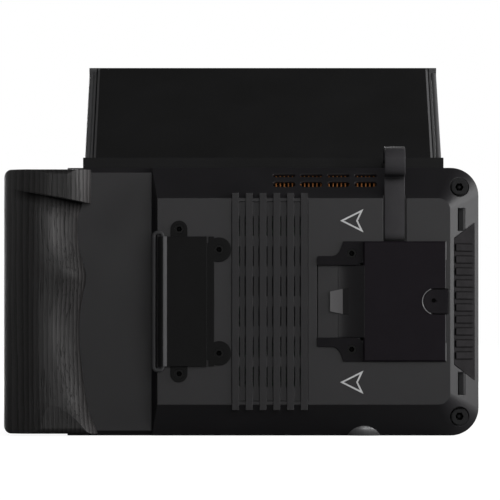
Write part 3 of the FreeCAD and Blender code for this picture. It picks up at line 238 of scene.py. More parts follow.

# %% [markdown]
# ## Coated metal
# The strap plate and fork are pressed sheet with a powder coat, which is matt with a slight orange peel. The
# accessory plate is black anodised aluminium, and the bail is wire with a dip coat. Each is a dark film that
# hides its metal, so the shader draws only the film: small cells for its peel, a little dust and paler edges.
# The strap plate's rolled edge and the accessory plate's right edge take a painted highlight, a pale band
# where they face the light, made with the same bands as the hood.

# %% Coated metal
DUST_MM = 9.0
COAT_EDGE = 0.3
# The pale tone of the painted highlights on the strap plate's roll and the plate's right edge.
COAT_HIGHLIGHT = "#4c4c4d"
STRAP_ROLL = [(82.1, 83.7)]
PLATE_EDGE = [(33.6, 34.1)]


def coated(name, base, rubbed, peel_mm, relief_mm, rough, shine):
    """To the eye a dull dark film with fine cells, dusty in patches and paler along its edges."""
    material, tree, shader, place = start_finish(name)
    peel = add(tree, "TexVoronoi", {"Vector": place, "Scale": 1 / (peel_mm * MM)}, feature="SMOOTH_F1")
    dust = add(tree, "TexNoise", {"Vector": place, "Scale": 1 / (DUST_MM * MM), "Detail": 6.0,
                                  "Roughness": 0.7})
    edge, worn = soft_edge(tree, COAT_EDGE)
    film = add(tree, "MapRange", {"Value": dust.outputs["Fac"], "From Min": 0.4, "From Max": 0.75,
                                  "To Max": 0.35})
    rub = add(tree, "Math", {0: worn, 1: dust.outputs["Fac"]}, operation="MULTIPLY")
    most = add(tree, "Math", {0: film.outputs["Result"], 1: rub.outputs[0]}, operation="MAXIMUM")
    tone = add(tree, "Mix", {0: most.outputs[0], 6: linear(base), 7: linear(rubbed)}, data_type="RGBA")
    dull = add(tree, "MapRange", {"Value": dust.outputs["Fac"], "To Min": rough - 0.1, "To Max": rough + 0.1})
    bump = add(tree, "Bump", {"Height": peel.outputs["Distance"], "Distance": relief_mm * MM, "Normal": edge})
    wire(tree, shader, Base_Color=tone.outputs[2], Roughness=dull.outputs["Result"],
         Normal=bump.outputs["Normal"], Specular_IOR_Level=shine)
    return material


# Real material, base and rubbed tones, peel and relief in mm, roughness, shine.
COATS = {
    "strap_sheet": ("black_powder_coat", "#141414", "#1d1d1e", 0.7, 0.01, 0.5, 0.05),
    "fork_sheet": ("grey_powder_coat", "#19181a", "#242325", 0.7, 0.01, 0.6, 0.04),
    "plate_metal": ("black_anodised_aluminium", "#1a171b", "#232024", 0.35, 0.004, 0.5, 0.04),
    "bail_wire": ("dip_coated_wire", "#383839", "#444445", 0.5, 0.008, 0.6, 0.06),
}
finishes.update({slot: coated(*values) for slot, values in COATS.items()})
# Painted highlights along the strap plate's rolled edge and the accessory plate's right edge.
highlight_bands(finishes["strap_sheet"], (1, 0, 0), STRAP_ROLL, COAT_HIGHLIGHT)
highlight_bands(finishes["plate_metal"], (1, 0, 0), PLATE_EDGE, COAT_HIGHLIGHT)
print("coated finishes", len(COATS))

# %% [markdown]
# ## Bare metal
# The hinge pins are plain steel, the tripod insert is turned brass, the heat sink is copper, the
# sockets have nickel plated shells and the dial is anodised. Drawing, brushing and turning leave
# streaks along one direction. Noise that is stretched along it gives them, drawn coarser than
# real so that they show. The same noise varies the roughness, so a highlight breaks up in it.

# %% Bare metal
STAIN_MM = 4.0
METAL_EDGE = 0.15
STREAK_RELIEF = 0.006


def bare_metal(name, base, streaked, rough, streak_mm, bright=1.0):
    """To the eye a streaked shine; bright is less than 1 where the metal is tarnished."""
    material, tree, shader, place = start_finish(name)
    run = add(tree, "Mapping", {"Vector": place, "Scale": repeats(streak_mm)})
    streak = add(tree, "TexNoise", {"Vector": run.outputs["Vector"], "Scale": 1.0, "Detail": 4.0})
    stain = add(tree, "TexNoise", {"Vector": place, "Scale": 1 / (STAIN_MM * MM), "Detail": 3.0})
    edge, worn = soft_edge(tree, METAL_EDGE)
    part = add(tree, "Math", {0: streak.outputs["Fac"], 1: worn}, operation="MAXIMUM")
    tone = add(tree, "Mix", {0: part.outputs[0], 6: linear(base), 7: linear(streaked)}, data_type="RGBA")
    both = add(tree, "Math", {0: streak.outputs["Fac"], 1: stain.outputs["Fac"]}, operation="MULTIPLY")
    dull = add(tree, "MapRange", {"Value": both.outputs[0], "From Max": 0.5,
                                  "To Min": rough - 0.08, "To Max": rough + 0.1})
    bump = add(tree, "Bump", {"Height": streak.outputs["Fac"], "Distance": STREAK_RELIEF * MM,
                              "Normal": edge})
    wire(tree, shader, Base_Color=tone.outputs[2], Roughness=dull.outputs["Result"],
         Normal=bump.outputs["Normal"], Metallic=bright)
    return material


# Real material, base and streak tones, roughness, size of a streak in mm along X, Y and Z, brightness.
METALS = {
    "steel": ("plain_steel", "#6d6d6e", "#a2a2a3", 0.35, (6.0, 0.2, 0.2)),
    "thread_metal": ("turned_brass", "#8a6c33", "#b89a58", 0.32, (0.25, 0.25, 3.0)),
    "copper": ("bare_copper", "#9a5529", "#c98a50", 0.5, (0.3, 4.0, 4.0), 0.5),
    "socket_metal": ("nickel_plated_shell", "#4c4c4e", "#78787a", 0.38, (5.0, 0.3, 0.3)),
    "dial_metal": ("black_anodised_dial", "#1c1c1e", "#3e3e41", 0.4, (0.3, 4.0, 0.3)),
}
finishes.update({slot: bare_metal(*values) for slot, values in METALS.items()})
print("bare metals", len(METALS))

# %% [markdown]
# ## Screws and tongue
# The screws are black oxide or dark zinc steel. Their sockets are darkened to black as painted shade, so each
# is a black spot in a dark head. The tongue of the slide is blackened spring steel, and its left end, the
# face that slopes towards the light, takes a painted highlight. Both could be painted on. But the first
# depends only on how closely walls stand round a place, and the second only on where it is.

# %% Screws
OXIDE_MM = 0.8
SCREW_EDGE = 0.2
SCREW_SHINE = 0.07
SOCKET_REACH = 1.5
SOCKET_SHADE = "#020202"


def blackened_screw(name, base, rubbed, rough):
    """To the eye a dark, softly mottled head, with painted shade that makes its socket black."""
    material, tree, shader, place = start_finish(name)
    stain = add(tree, "TexNoise", {"Vector": place, "Scale": 1 / (OXIDE_MM * MM), "Detail": 4.0})
    rounded = add(tree, "Bevel", {"Radius": SCREW_EDGE * MM}, samples=EDGE_SAMPLES)
    # Painted shade: where walls close round, the head turns black and loses its shine.
    clear = unshaded_share(tree, SOCKET_REACH)
    tone = add(tree, "Mix", {0: stain.outputs["Fac"], 6: linear(base), 7: linear(rubbed)}, data_type="RGBA")
    tone = add(tree, "Mix", {0: clear, 6: linear(SOCKET_SHADE), 7: tone.outputs[2]}, data_type="RGBA")
    shine = add(tree, "Math", {0: clear, 1: SCREW_SHINE}, operation="MULTIPLY")
    wire(tree, shader, Base_Color=tone.outputs[2], Roughness=rough, Normal=rounded.outputs["Normal"],
         Specular_IOR_Level=shine.outputs[0])
    return material


finishes["dark_screws"] = blackened_screw("black_oxide_steel", "#111111", "#1a1a1a", 0.5)
finishes["case_screws"] = blackened_screw("dark_zinc_steel", "#19191a", "#29292a", 0.45)
print("socket reach mm", SOCKET_REACH)

# %% Tongue
HIGHLIGHT_END = -9.0
HIGHLIGHT_BLEND = 0.05
GROUND_MM = (0.2, 5.0, 5.0)
GROUND_EDGE = 0.1
material, tree, shader, place = start_finish("blackened_spring_steel")
run = add(tree, "Mapping", {"Vector": place, "Scale": repeats(GROUND_MM)})
streak = add(tree, "TexNoise", {"Vector": run.outputs["Vector"], "Scale": 1.0, "Detail": 3.0})
side = add(tree, "SeparateXYZ", {0: place})
# Painted highlight: left of x = -9 mm the tongue is pale, as the end that slopes towards the light; the rest
# keeps the steel's dark colour.
rest = add(tree, "MapRange", {"Value": side.outputs["X"], "From Min": (HIGHLIGHT_END - HIGHLIGHT_BLEND) * MM,
                              "From Max": (HIGHLIGHT_END + HIGHLIGHT_BLEND) * MM})
rounded = add(tree, "Bevel", {"Radius": GROUND_EDGE * MM}, samples=EDGE_SAMPLES)
tone = add(tree, "Mix", {0: rest.outputs["Result"], 6: linear("#575657"), 7: linear("#151415")},
           data_type="RGBA")
dull = add(tree, "MapRange", {"Value": streak.outputs["Fac"], "To Min": 0.45, "To Max": 0.65})
wire(tree, shader, Base_Color=tone.outputs[2], Roughness=dull.outputs["Result"],
     Normal=rounded.outputs["Normal"], Specular_IOR_Level=0.1)
finishes["tongue_steel"] = material
print("finishes so far", len(finishes))

# %% [markdown]
# ## Oiled wood
# The hand grip is milled from one block of dark open-pored ash and oiled. Its grain runs up the grip, so the
# year rings show as long, nearly straight lines that crowd together where the surface turns away. A picture
# of wood would have to be unwrapped and wouldn't meet at the edges. A solid texture, cut by the surface,
# gives all that by itself: leaning bands across X, pushed about by noise stretched along Z, with fine pores
# drawn the same way. Two marks are painted light: a dark, dull painted shadow in the corner under the ledge,
# and a painted highlight that makes the flank facing the light paler.

# %% Painted shadow under the ledge
LEDGE_END = (-114.2, 96.6)
LEDGE_SLANT = -0.19
LEDGE_SHADE = 4.5
LEDGE_DEPTHS = (-1.0, 5.0)
LEDGE_SIDES = (-148.0, -139.0)


def ledge_shadow(tree, place):
    """A painted shadow mask: 1 just under the slanting ledge, fading downwards, forwards and outwards."""
    fall = add(tree, "VectorMath", {0: place, 1: (LEDGE_SLANT, 0.0, -1.0)}, operation="DOT_PRODUCT")
    start = (LEDGE_SLANT * LEDGE_END[0] - LEDGE_END[1]) * MM
    below = add(tree, "Math", {0: fall.outputs["Value"], 1: start}, operation="GREATER_THAN")
    side = add(tree, "SeparateXYZ", {0: place})
    fades = [
        {"Value": fall.outputs["Value"], "From Min": start + LEDGE_SHADE * MM, "From Max": start},
        {"Value": side.outputs["Y"], "From Min": LEDGE_DEPTHS[1] * MM, "From Max": LEDGE_DEPTHS[0] * MM},
        {"Value": side.outputs["X"], "From Min": LEDGE_SIDES[0] * MM, "From Max": LEDGE_SIDES[1] * MM},
    ]
    mask = below
    for links in fades:
        fade = add(tree, "MapRange", links)
        mask = add(tree, "Math", {0: mask.outputs[0], 1: fade.outputs["Result"]}, operation="MULTIPLY")
    return mask.outputs[0]


print("ledge end mm", LEDGE_END)

# %% Year rings
RING_MM = 1.9
RING_LEAN = -0.25
WAVE_PERIOD = math.pi / 10  # of Blender's wave at scale 1
SWAY_MM = (14.0, 14.0, 90.0)
SWAY_PUSH = 3.0
FIBRE_MM = (0.5, 0.5, 14.0)


def wood_grain(tree, place):
    """Three masks: the year rings, the fibres along the grip and the open pores among them."""
    slow = add(tree, "Mapping", {"Vector": place, "Scale": repeats(SWAY_MM)})
    sway = add(tree, "TexNoise", {"Vector": slow.outputs["Vector"], "Scale": 1.0, "Detail": 3.0})
    push = add(tree, "VectorMath", {0: sway.outputs["Color"], 1: (SWAY_PUSH * MM, SWAY_PUSH * MM, 0.0)},
               operation="MULTIPLY")
    bent = add(tree, "VectorMath", {0: place, 1: push.outputs["Vector"]}, operation="ADD")
    lean = add(tree, "Mapping", {"Vector": bent.outputs["Vector"], "Rotation": (0.0, 0.0, RING_LEAN)})
    ring = add(tree, "TexWave", {"Vector": lean.outputs["Vector"], "Scale": WAVE_PERIOD / (RING_MM * MM),
                                 "Distortion": 0.6, "Detail": 2.0, "Detail Scale": 1.6},
               wave_type="BANDS", bands_direction="X", wave_profile="SAW")
    run = add(tree, "Mapping", {"Vector": bent.outputs["Vector"], "Scale": repeats(FIBRE_MM)})
    fibre = add(tree, "TexNoise", {"Vector": run.outputs["Vector"], "Scale": 1.0, "Detail": 3.0})
    pores = add(tree, "MapRange", {"Value": fibre.outputs["Fac"], "From Min": 0.56, "From Max": 0.7})
    return ring.outputs["Fac"], fibre.outputs["Fac"], pores.outputs["Result"]


print("ring spacing mm", RING_MM)

# %% Oiled wood
PORE_RELIEF = 0.12
WOOD_EDGE = 0.5
OIL_SHINE = 0.25
# Colour of the painted shadow under the ledge.
LEDGE_SHADOW_DARK = "#030303"
# Brightening of the painted highlight on the flank.
FLANK_HIGHLIGHT_GAIN = 4.0


def oiled_wood(name, early, late, pore):
    """To the eye dark lines with pores and a low oily shine, with a dull painted shadow under the ledge and a
    painted highlight on the flank.
    """
    material, tree, shader, place = start_finish(name)
    ring, fibre, pores = wood_grain(tree, place)
    tone = add(tree, "Mix", {0: ring, 6: linear(early), 7: linear(late)}, data_type="RGBA")
    tone = add(tree, "Mix", {0: pores, 6: tone.outputs[2], 7: linear(pore)}, data_type="RGBA")
    # Painted shadow under the ledge: near black and without shine.
    shadow_mask = ledge_shadow(tree, place)
    tone = add(tree, "Mix", {0: shadow_mask, 6: tone.outputs[2], 7: linear(LEDGE_SHADOW_DARK)}, data_type="RGBA")
    shine = add(tree, "MapRange", {"Value": shadow_mask, "To Min": OIL_SHINE, "To Max": 0.0})
    # Painted highlight: faces turned towards +X, where the key light falls, are brightened up to the flank
    # gain.
    facing = add(tree, "NewGeometry")
    turned = add(tree, "SeparateXYZ", {0: facing.outputs["Normal"]})
    flank = add(tree, "MapRange", {"Value": turned.outputs["X"], "From Min": 0.3, "From Max": 0.85,
                                   "To Min": 1.0, "To Max": FLANK_HIGHLIGHT_GAIN})
    tone = add(tree, "VectorMath", {0: tone.outputs[2], "Scale": flank.outputs["Result"]}, operation="SCALE")
    rounded = add(tree, "Bevel", {"Radius": WOOD_EDGE * MM}, samples=EDGE_SAMPLES)
    ridge = add(tree, "Math", {0: ring, 1: pores}, operation="ADD")
    bump = add(tree, "Bump", {"Height": ridge.outputs[0], "Distance": PORE_RELIEF * MM,
                              "Normal": rounded.outputs["Normal"]}, invert=True)
    dull = add(tree, "MapRange", {"Value": fibre, "To Min": 0.45, "To Max": 0.65})
    wire(tree, shader, Base_Color=tone.outputs["Vector"], Roughness=dull.outputs["Result"],
         Normal=bump.outputs["Normal"], Specular_IOR_Level=shine.outputs["Result"])
    return material


finishes["grip_wood"] = oiled_wood("oiled_dark_ash", "#2a2929", "#0f0e0e", "#0b0a0a")
print("flank gain", FLANK_HIGHLIGHT_GAIN)

# %% [markdown]
# ## Rubber
# The side pad and gaskets are rubber, and the ribbon's jacket is a soft plastic much like it.
# Rubber is matt and takes dust, and its creases are darkened as painted shade. Its grain is about 0.1 mm on
# the real piece and drawn coarser so that it shows. The painted shade is found as in the screws' sockets, by
# how closely walls stand round a place, so it needs no painted map.

# %% Rubber
FILM_MM = 5.0
RUBBER_GRAIN = 0.45
RUBBER_RELIEF = 0.02
RUBBER_EDGE = 0.3
CREASE_REACH = 0.9
# Colour of the painted shade in creases.
CREASE_SHADE = "#050505"


def rubber(name, base, dusty, rough, reach_mm=CREASE_REACH):
    """To the eye matt and dusty, paler on its edges, with painted shade that makes creases black as wide as
    the reach.
    """
    material, tree, shader, place = start_finish(name)
    dust = add(tree, "TexNoise", {"Vector": place, "Scale": 1 / (FILM_MM * MM), "Detail": 5.0,
                                  "Roughness": 0.7})
    grain = add(tree, "TexNoise", {"Vector": place, "Scale": 1 / (RUBBER_GRAIN * MM), "Detail": 2.0})
    edge, worn = soft_edge(tree, RUBBER_EDGE)
    film = add(tree, "MapRange", {"Value": dust.outputs["Fac"], "From Min": 0.4, "From Max": 0.8,
                                  "To Max": 0.5})
    most = add(tree, "Math", {0: film.outputs["Result"], 1: worn}, operation="MAXIMUM")
    tone = add(tree, "Mix", {0: most.outputs[0], 6: linear(base), 7: linear(dusty)}, data_type="RGBA")
    # Painted shade in creases, as wide as the reach.
    clear = unshaded_share(tree, reach_mm)
    tone = add(tree, "Mix", {0: clear, 6: linear(CREASE_SHADE), 7: tone.outputs[2]}, data_type="RGBA")
    bump = add(tree, "Bump", {"Height": grain.outputs["Fac"], "Distance": RUBBER_RELIEF * MM, "Normal": edge})
    wire(tree, shader, Base_Color=tone.outputs[2], Roughness=rough, Normal=bump.outputs["Normal"],
         Specular_IOR_Level=0.05)
    return material


finishes["soft_rubber"] = rubber("black_silicone_rubber", "#141414", "#262627", 0.75)
finishes["pad_rubber"] = rubber("ribbed_grey_rubber", "#201f20", "#312f31", 0.8)
# On the ribbon the painted shade reaches 4 mm and darkens the lower part of its loop.
finishes["ribbon_jacket"] = rubber("ribbon_jacket_tpe", "#39383a", "#424143", 0.5, reach_mm=4.0)
print("crease reach mm", CREASE_REACH)

# %% [markdown]
# ## Glass, display and board
# The cover glass is clear, coated and nearly mirror smooth, with faint smears and a black mask
# printed round the picture. The mask could be a thin piece of its own, but a distance from the
# glass's centre gives it crisp edges and no faces. The display below is off, a deep blue black
# with a grid of cells, under 0.1 mm in truth and drawn coarser. The board has green lacquer
# over copper tracks, drawn as a square cell pattern.

# %% Cover glass
PICTURE = (143.0, 80.0)
SMEAR_MM = 30.0
material, tree, shader, place = start_finish("coated_cover_glass")
smear = add(tree, "TexNoise", {"Vector": place, "Scale": 1 / (SMEAR_MM * MM), "Detail": 5.0})
dull = add(tree, "MapRange", {"Value": smear.outputs["Fac"], "To Min": 0.02, "To Max": 0.09})
low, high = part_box("cover_glass")
off = add(tree, "VectorMath", {0: place, 1: (low + high) / 2}, operation="SUBTRACT")
reach = add(tree, "VectorMath", {0: off.outputs["Vector"]}, operation="ABSOLUTE")
side = add(tree, "SeparateXYZ", {0: reach.outputs["Vector"]})
past_x = add(tree, "Math", {0: side.outputs["X"], 1: PICTURE[0] / 2 * MM}, operation="GREATER_THAN")
past_z = add(tree, "Math", {0: side.outputs["Z"], 1: PICTURE[1] / 2 * MM}, operation="GREATER_THAN")
mask = add(tree, "Math", {0: past_x.outputs[0], 1: past_z.outputs[0]}, operation="MAXIMUM")
tint = add(tree, "Mix", {0: mask.outputs[0], 6: linear("#e9eef2"), 7: linear("#060607")}, data_type="RGBA")
clear = add(tree, "Math", {0: 1.0, 1: mask.outputs[0]}, operation="SUBTRACT")
wire(tree, shader, Base_Color=tint.outputs[2], Roughness=dull.outputs["Result"], IOR=1.5,
     Transmission_Weight=clear.outputs[0])
finishes["screen_glass"] = material
print("picture mm", PICTURE)

# %% Display
CELL_MM = 0.6
CELL_GAP = 0.08
SHEEN_MM = 60.0
material, tree, shader, place = start_finish("display_off")
cells = add(tree, "TexBrick", {"Vector": place, "Scale": 1.0, "Color1": linear("#0b0d12"),
                               "Color2": linear("#0d1015"), "Mortar": linear("#050507"),
                               "Mortar Size": CELL_GAP * MM, "Brick Width": CELL_MM * MM,
                               "Row Height": CELL_MM * MM})
sheen = add(tree, "TexNoise", {"Vector": place, "Scale": 1 / (SHEEN_MM * MM)})
dull = add(tree, "MapRange", {"Value": sheen.outputs["Fac"], "To Min": 0.2, "To Max": 0.32})
wire(tree, shader, Base_Color=cells.outputs["Color"], Roughness=dull.outputs["Result"],
     Specular_IOR_Level=0.4)
finishes["display"] = material
print("cell mm", CELL_MM)

# %% Board
TRACK_MM = 2.4
LACQUER_RELIEF = 0.03
material, tree, shader, place = start_finish("green_lacquered_board")
track = add(tree, "TexVoronoi", {"Vector": place, "Scale": 1 / (TRACK_MM * MM)}, distance="CHEBYCHEV",
            feature="DISTANCE_TO_EDGE")
line = add(tree, "MapRange", {"Value": track.outputs["Distance"], "From Min": 0.05, "From Max": 0.09})
tone = add(tree, "Mix", {0: line.outputs["Result"], 6: linear("#2f6b45"), 7: linear("#123c25")},
           data_type="RGBA")
bump = add(tree, "Bump", {"Height": line.outputs["Result"], "Distance": LACQUER_RELIEF * MM}, invert=True)
wire(tree, shader, Base_Color=tone.outputs[2], Roughness=0.35, Normal=bump.outputs["Normal"])
finishes["board"] = material
print("finishes", len(finishes))

# %% [markdown]
# ## A finish for every solid
# The record names a material slot for each solid, and a slot has a finish, so one loop dresses all of them.
# The hood's pieces share a slot but not a look: the panel and flaps carry their painted highlights, and the
# base takes a slightly paler copy of the hood's plastic, a painted light against the shade it stands in. The
# shell and its vent grille also share a slot, and the grille has a finish of its own. Splitting the slots
# would do it too, but they say what a piece is made of. A solid keeps its mesh: only its material changes.

# %% Dress the solids
# Painted light: the hood base is a slightly paler copy of the hood's plastic, against the shade of the body's
# top edge on it.
painted_light_base_plastic = moulded("matt_black_base_plastic", "#212121", "#29292a", 0.6, 0.015, 0.6, 0.02, 0.25)
grille_plastic = moulded("spark_eroded_grille_plastic", "#19181a", "#242325", 0.5, 0.02, 0.48, 0.23, 0.3)
slot_of = {part["node"]: part["material_slot"] for part in frame["record"]["subparts"]}
own_finish = {"hood_base": painted_light_base_plastic, "hood_panel": panel_plastic, "hood_left_flap": flap_plastic,
              "hood_right_flap": flap_plastic, "vent_grille": grille_plastic}
for name, solid in frame["nodes"].items():
    if not solid.material_slots:
        solid.data.materials.append(None)
    for holder in solid.material_slots:
        holder.material = own_finish.get(name) or finishes[slot_of[name]]
print("dressed", len(slot_of))

# %% [markdown]
# ## Working in edit mode
# The new pieces are made as by hand: add a primitive, go into edit mode, choose vertices or
# faces by where they are, and pull, inset or extrude them. These helpers open a piece,
# choose in it, give it a modifier and finish it.

# %% Helpers to open and choose


def take(piece):
    """Makes one piece the only selected and active one, in object mode."""
    if bpy.context.object and bpy.context.object.mode != "OBJECT":
        bpy.ops.object.mode_set(mode="OBJECT")
    bpy.ops.object.select_all(action="DESELECT")
    piece.select_set(True)
    bpy.context.view_layer.objects.active = piece


def fix_place(piece):
    """Moves the piece's place, turn and scale into its mesh."""
    take(piece)
    bpy.ops.object.transform_apply(location=True, rotation=True, scale=True)


def open_mesh(piece):
    """Fixes the place and opens the piece in edit mode, with everything selected."""
    fix_place(piece)
    bpy.ops.object.mode_set(mode="EDIT")
    bpy.ops.mesh.select_all(action="SELECT")


def choose(piece, test):
    """In edit mode, selects the vertices that pass the test, and the faces they close."""
    mesh = bmesh.from_edit_mesh(piece.data)
    for face in mesh.faces:
        face.select = False
    for edge in mesh.edges:
        edge.select = False
    for vertex in mesh.verts:
        vertex.select = test(vertex.co)
    mesh.select_flush(True)
    bmesh.update_edit_mesh(piece.data)


bpy.ops.object.select_all(action="DESELECT")
print("selected", len(bpy.context.selected_objects))

# %% Helpers to modify and finish


def modify(piece, kind, **settings):
    """Adds one modifier to the active piece, sets it and applies it."""
    bpy.ops.object.modifier_add(type=kind)
    modifier = piece.modifiers[-1]
    for name, value in settings.items():
        setattr(modifier, name, value)
    bpy.ops.object.modifier_apply(modifier=modifier.name)


def settle(piece, name, body, finish):
    """Fixes the place, names the piece, dresses it and lets it ride on its body."""
    fix_place(piece)
    piece.name = name
    piece.data.materials.clear()
    piece.data.materials.append(finish)
    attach(piece, body)
    print(name, "faces", len(piece.data.polygons))


# %% [markdown]
# ## Ribbon lead
# A flat lead leaves the plate, lies in its channel, bends out at the top edge, loops back over
# it and goes down into its gland. A strip could be bent by hand, but a curve keeps its width
# and can be measured. Its line is a smooth spline led by the route's points, and the curve's
# own extrusion and bevel give it a flat section with round edges.

# %% Ribbon lead
RIBBON_X = 12.55
RIBBON_WIDTH = 8.6
RIBBON_THICKNESS = 0.8
RIBBON_ROUTE = ((-16.6, 81.2), (-16.6, 105.5), (-16.6, 108.9), (-25.8, 108.9), (-25.8, 120.3), (3.0, 120.3),
                (3.0, 112.0))
bpy.ops.curve.primitive_nurbs_path_add()
ribbon = bpy.context.object
ribbon.name = "ribbon_lead"
line = ribbon.data.splines[0]
line.points.add(len(RIBBON_ROUTE) - len(line.points))
for point, (y, z) in zip(line.points, RIBBON_ROUTE):
    point.co = (RIBBON_X * MM, y * MM, z * MM, 1.0)
    point.tilt = math.pi / 2
line.order_u = 3
line.use_endpoint_u = True
line.resolution_u = 24
path = [vertex.co.copy() for vertex in bpy.data.meshes.new_from_object(ribbon).vertices]
ribbon.data.extrude = (RIBBON_WIDTH - RIBBON_THICKNESS) / 2 * MM
ribbon.data.bevel_depth = RIBBON_THICKNESS / 2 * MM
ribbon.data.bevel_resolution = 3
ribbon.data.materials.append(finishes["ribbon_jacket"])
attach(ribbon, "monitor")
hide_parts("ribbon")

# %% [markdown]
# ## Printed direction marks
# Two pale arrowheads are pad printed on the raised centre and show which way an accessory
# slides on. A mask in the shell's finish could draw them, but a film with its own ink, a few
# hundredths of a millimetre thick, keeps its edges crisp. Each mark starts as a plane whose
# corners are pulled to the arrow's points, then inset to leave the outline.

# %% Printing ink
INK_MM = 0.6
print_ink, tree, shader, place = start_finish("pad_print_pale_grey")
ink = add(tree, "TexNoise", {"Vector": place, "Scale": 1 / (INK_MM * MM), "Detail": 3.0})
tone = add(tree, "Mix", {0: ink.outputs["Fac"], 6: linear("#b4b4b5"), 7: linear("#d2d2d3")}, data_type="RGBA")
wire(tree, shader, Base_Color=tone.outputs[2], Roughness=0.6, Specular_IOR_Level=0.2)
print("ink mottle mm", INK_MM)

# %% Direction marks
MID_LEVEL = 56.0
SIDES = (("upper", 1), ("lower", -1))
ARROW_TIP_X = -10.1
ARROW_TAIL_X = -0.4
ARROW_NOTCH_X = -2.7
ARROW_HALF = 4.85
ARROW_LINE = 0.68
ARROW_LEVEL = 33.6
CORNERS_MEET = 0.01
FILM = 0.04
GRILLE_RISE = 0.9
plateau_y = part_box("vent_grille")[0].y + GRILLE_RISE * MM


def direction_mark(name, level):
    """An outlined arrowhead that points along -X."""
    bpy.ops.mesh.primitive_plane_add(size=2 * MM, location=(0, plateau_y, level * MM),
                                     rotation=(math.pi / 2, 0, 0))
    mark = bpy.context.object
    goals = {(-1, 1): (ARROW_TIP_X, 0), (1, 1): (ARROW_TAIL_X, ARROW_HALF),
             (-1, -1): (ARROW_TAIL_X, -ARROW_HALF), (1, -1): (ARROW_NOTCH_X, 0)}
    open_mesh(mark)
    for (side, up), (x, rise) in goals.items():
        corner = Vector((side * MM, plateau_y, (level + up) * MM))
        goal = Vector((x * MM, plateau_y, (level + rise) * MM))
        choose(mark, lambda co, corner=corner: (co - corner).length < CORNERS_MEET * MM)
        bpy.ops.transform.translate(value=goal - corner)
    bpy.ops.mesh.select_all(action="SELECT")
    bpy.ops.mesh.inset(thickness=ARROW_LINE * MM, use_even_offset=True)
    bpy.ops.mesh.delete(type="ONLY_FACE")
    bpy.ops.mesh.select_all(action="SELECT")
    bpy.ops.mesh.extrude_region_move(TRANSFORM_OT_translate={"value": (0, -FILM * MM, 0)})
    bpy.ops.mesh.select_all(action="SELECT")
    bpy.ops.mesh.normals_make_consistent(inside=False)
    settle(mark, name, "monitor", print_ink)


for side, sign in SIDES:
    direction_mark("direction_mark_" + side, MID_LEVEL + sign * ARROW_LEVEL)

# %% [markdown]
# ## Tripod thread
# The brass insert takes a quarter inch tripod screw with 20 turns to the inch. A bump could
# draw the thread, but seen from below the ridge stands out in the bore. A small triangle is
# set at the wall, and the screw modifier turns it about the bore's axis while it climbs one
# pitch a turn. The open ends are closed, and the base of the ridge stays sunk in the wall.

# %% Tripod thread
THREAD_PITCH = 1.27
THREAD_TURNS = 6
THREAD_STEPS = 32
THREAD_BORE = 2.62
THREAD_RIDGE = 0.2
bpy.ops.mesh.primitive_circle_add(vertices=3, radius=THREAD_RIDGE * MM, fill_type="NOTHING",
                                  location=(THREAD_BORE * MM, 0, THREAD_PITCH / 2 * MM),
                                  rotation=(math.pi / 2, -math.pi / 2, 0))
thread = bpy.context.object
fix_place(thread)
modify(thread, "SCREW", axis="Z", screw_offset=THREAD_PITCH * MM, iterations=THREAD_TURNS,
       steps=THREAD_STEPS, render_steps=THREAD_STEPS)
open_mesh(thread)
bpy.ops.mesh.fill_holes(sides=3)
bpy.ops.mesh.normals_make_consistent(inside=False)
settle(thread, "tripod_thread", "monitor", finishes["thread_metal"])

# %% [markdown]
# ## Slot linings
# The strap slots are lined with a strip of grey acetal where the strap rubs. Each strip is a block that lies
# along the slope, with its edges rounded. A shader could round them too, but a strip this thin is nearly all
# edge, so here the bevel is real. The shadow strips below use the same function.

# %% Slot linings
SLOPE_TOP = Vector((35.7, -17.0))
SLOPE_FOOT = Vector((48.0, -4.0))
SLOT_SHARE = 0.4
SLOT_HALF = 2.3
SLOT_LEVEL = 34.2
LINING = (0.6, 2.8, 9.2)
LINING_DROP = 0.25
LINING_ROUND = 0.2
lining_plastic = moulded("grey_acetal", "#4a4a4b", "#545455", 0.5, 0.01, 0.5, 0.08, 0.2)


def rounded_block(name, centre, size, round_mm, segments, finish, turn=0.0):
    """A block with round edges on the monitor, its centre and size in mm, turned about the vertical."""
    bpy.ops.mesh.primitive_cube_add(size=1, location=Vector(centre) * MM, rotation=(0, 0, turn))
    block = bpy.context.object
    block.scale = Vector(size) * MM
    open_mesh(block)
    bpy.ops.mesh.bevel(offset=round_mm * MM, segments=segments)
    settle(block, name, "monitor", finish)


along = (SLOPE_FOOT - SLOPE_TOP).normalized()
inward = Vector((-along.y, along.x))
spot = SLOPE_TOP.lerp(SLOPE_FOOT, SLOT_SHARE) + along * (SLOT_HALF - LINING[0] / 2)
spot += inward * (LINING_DROP + LINING[1] / 2)
for side, sign in SIDES:
    rounded_block("slot_lining_" + side, (spot.x, spot.y, MID_LEVEL + sign * SLOT_LEVEL), LINING,
                  LINING_ROUND, 3, lining_plastic, turn=math.atan2(along.y, along.x))

# %% [markdown]
# ## Boss sleeve
# A turned aluminium sleeve covers the tripod boss and shows as a thin bright line at the foot of
# the rear view. It is an open cylinder, and Solidify gives its wall an exact thickness, which is
# simpler than fitting one cylinder into another.

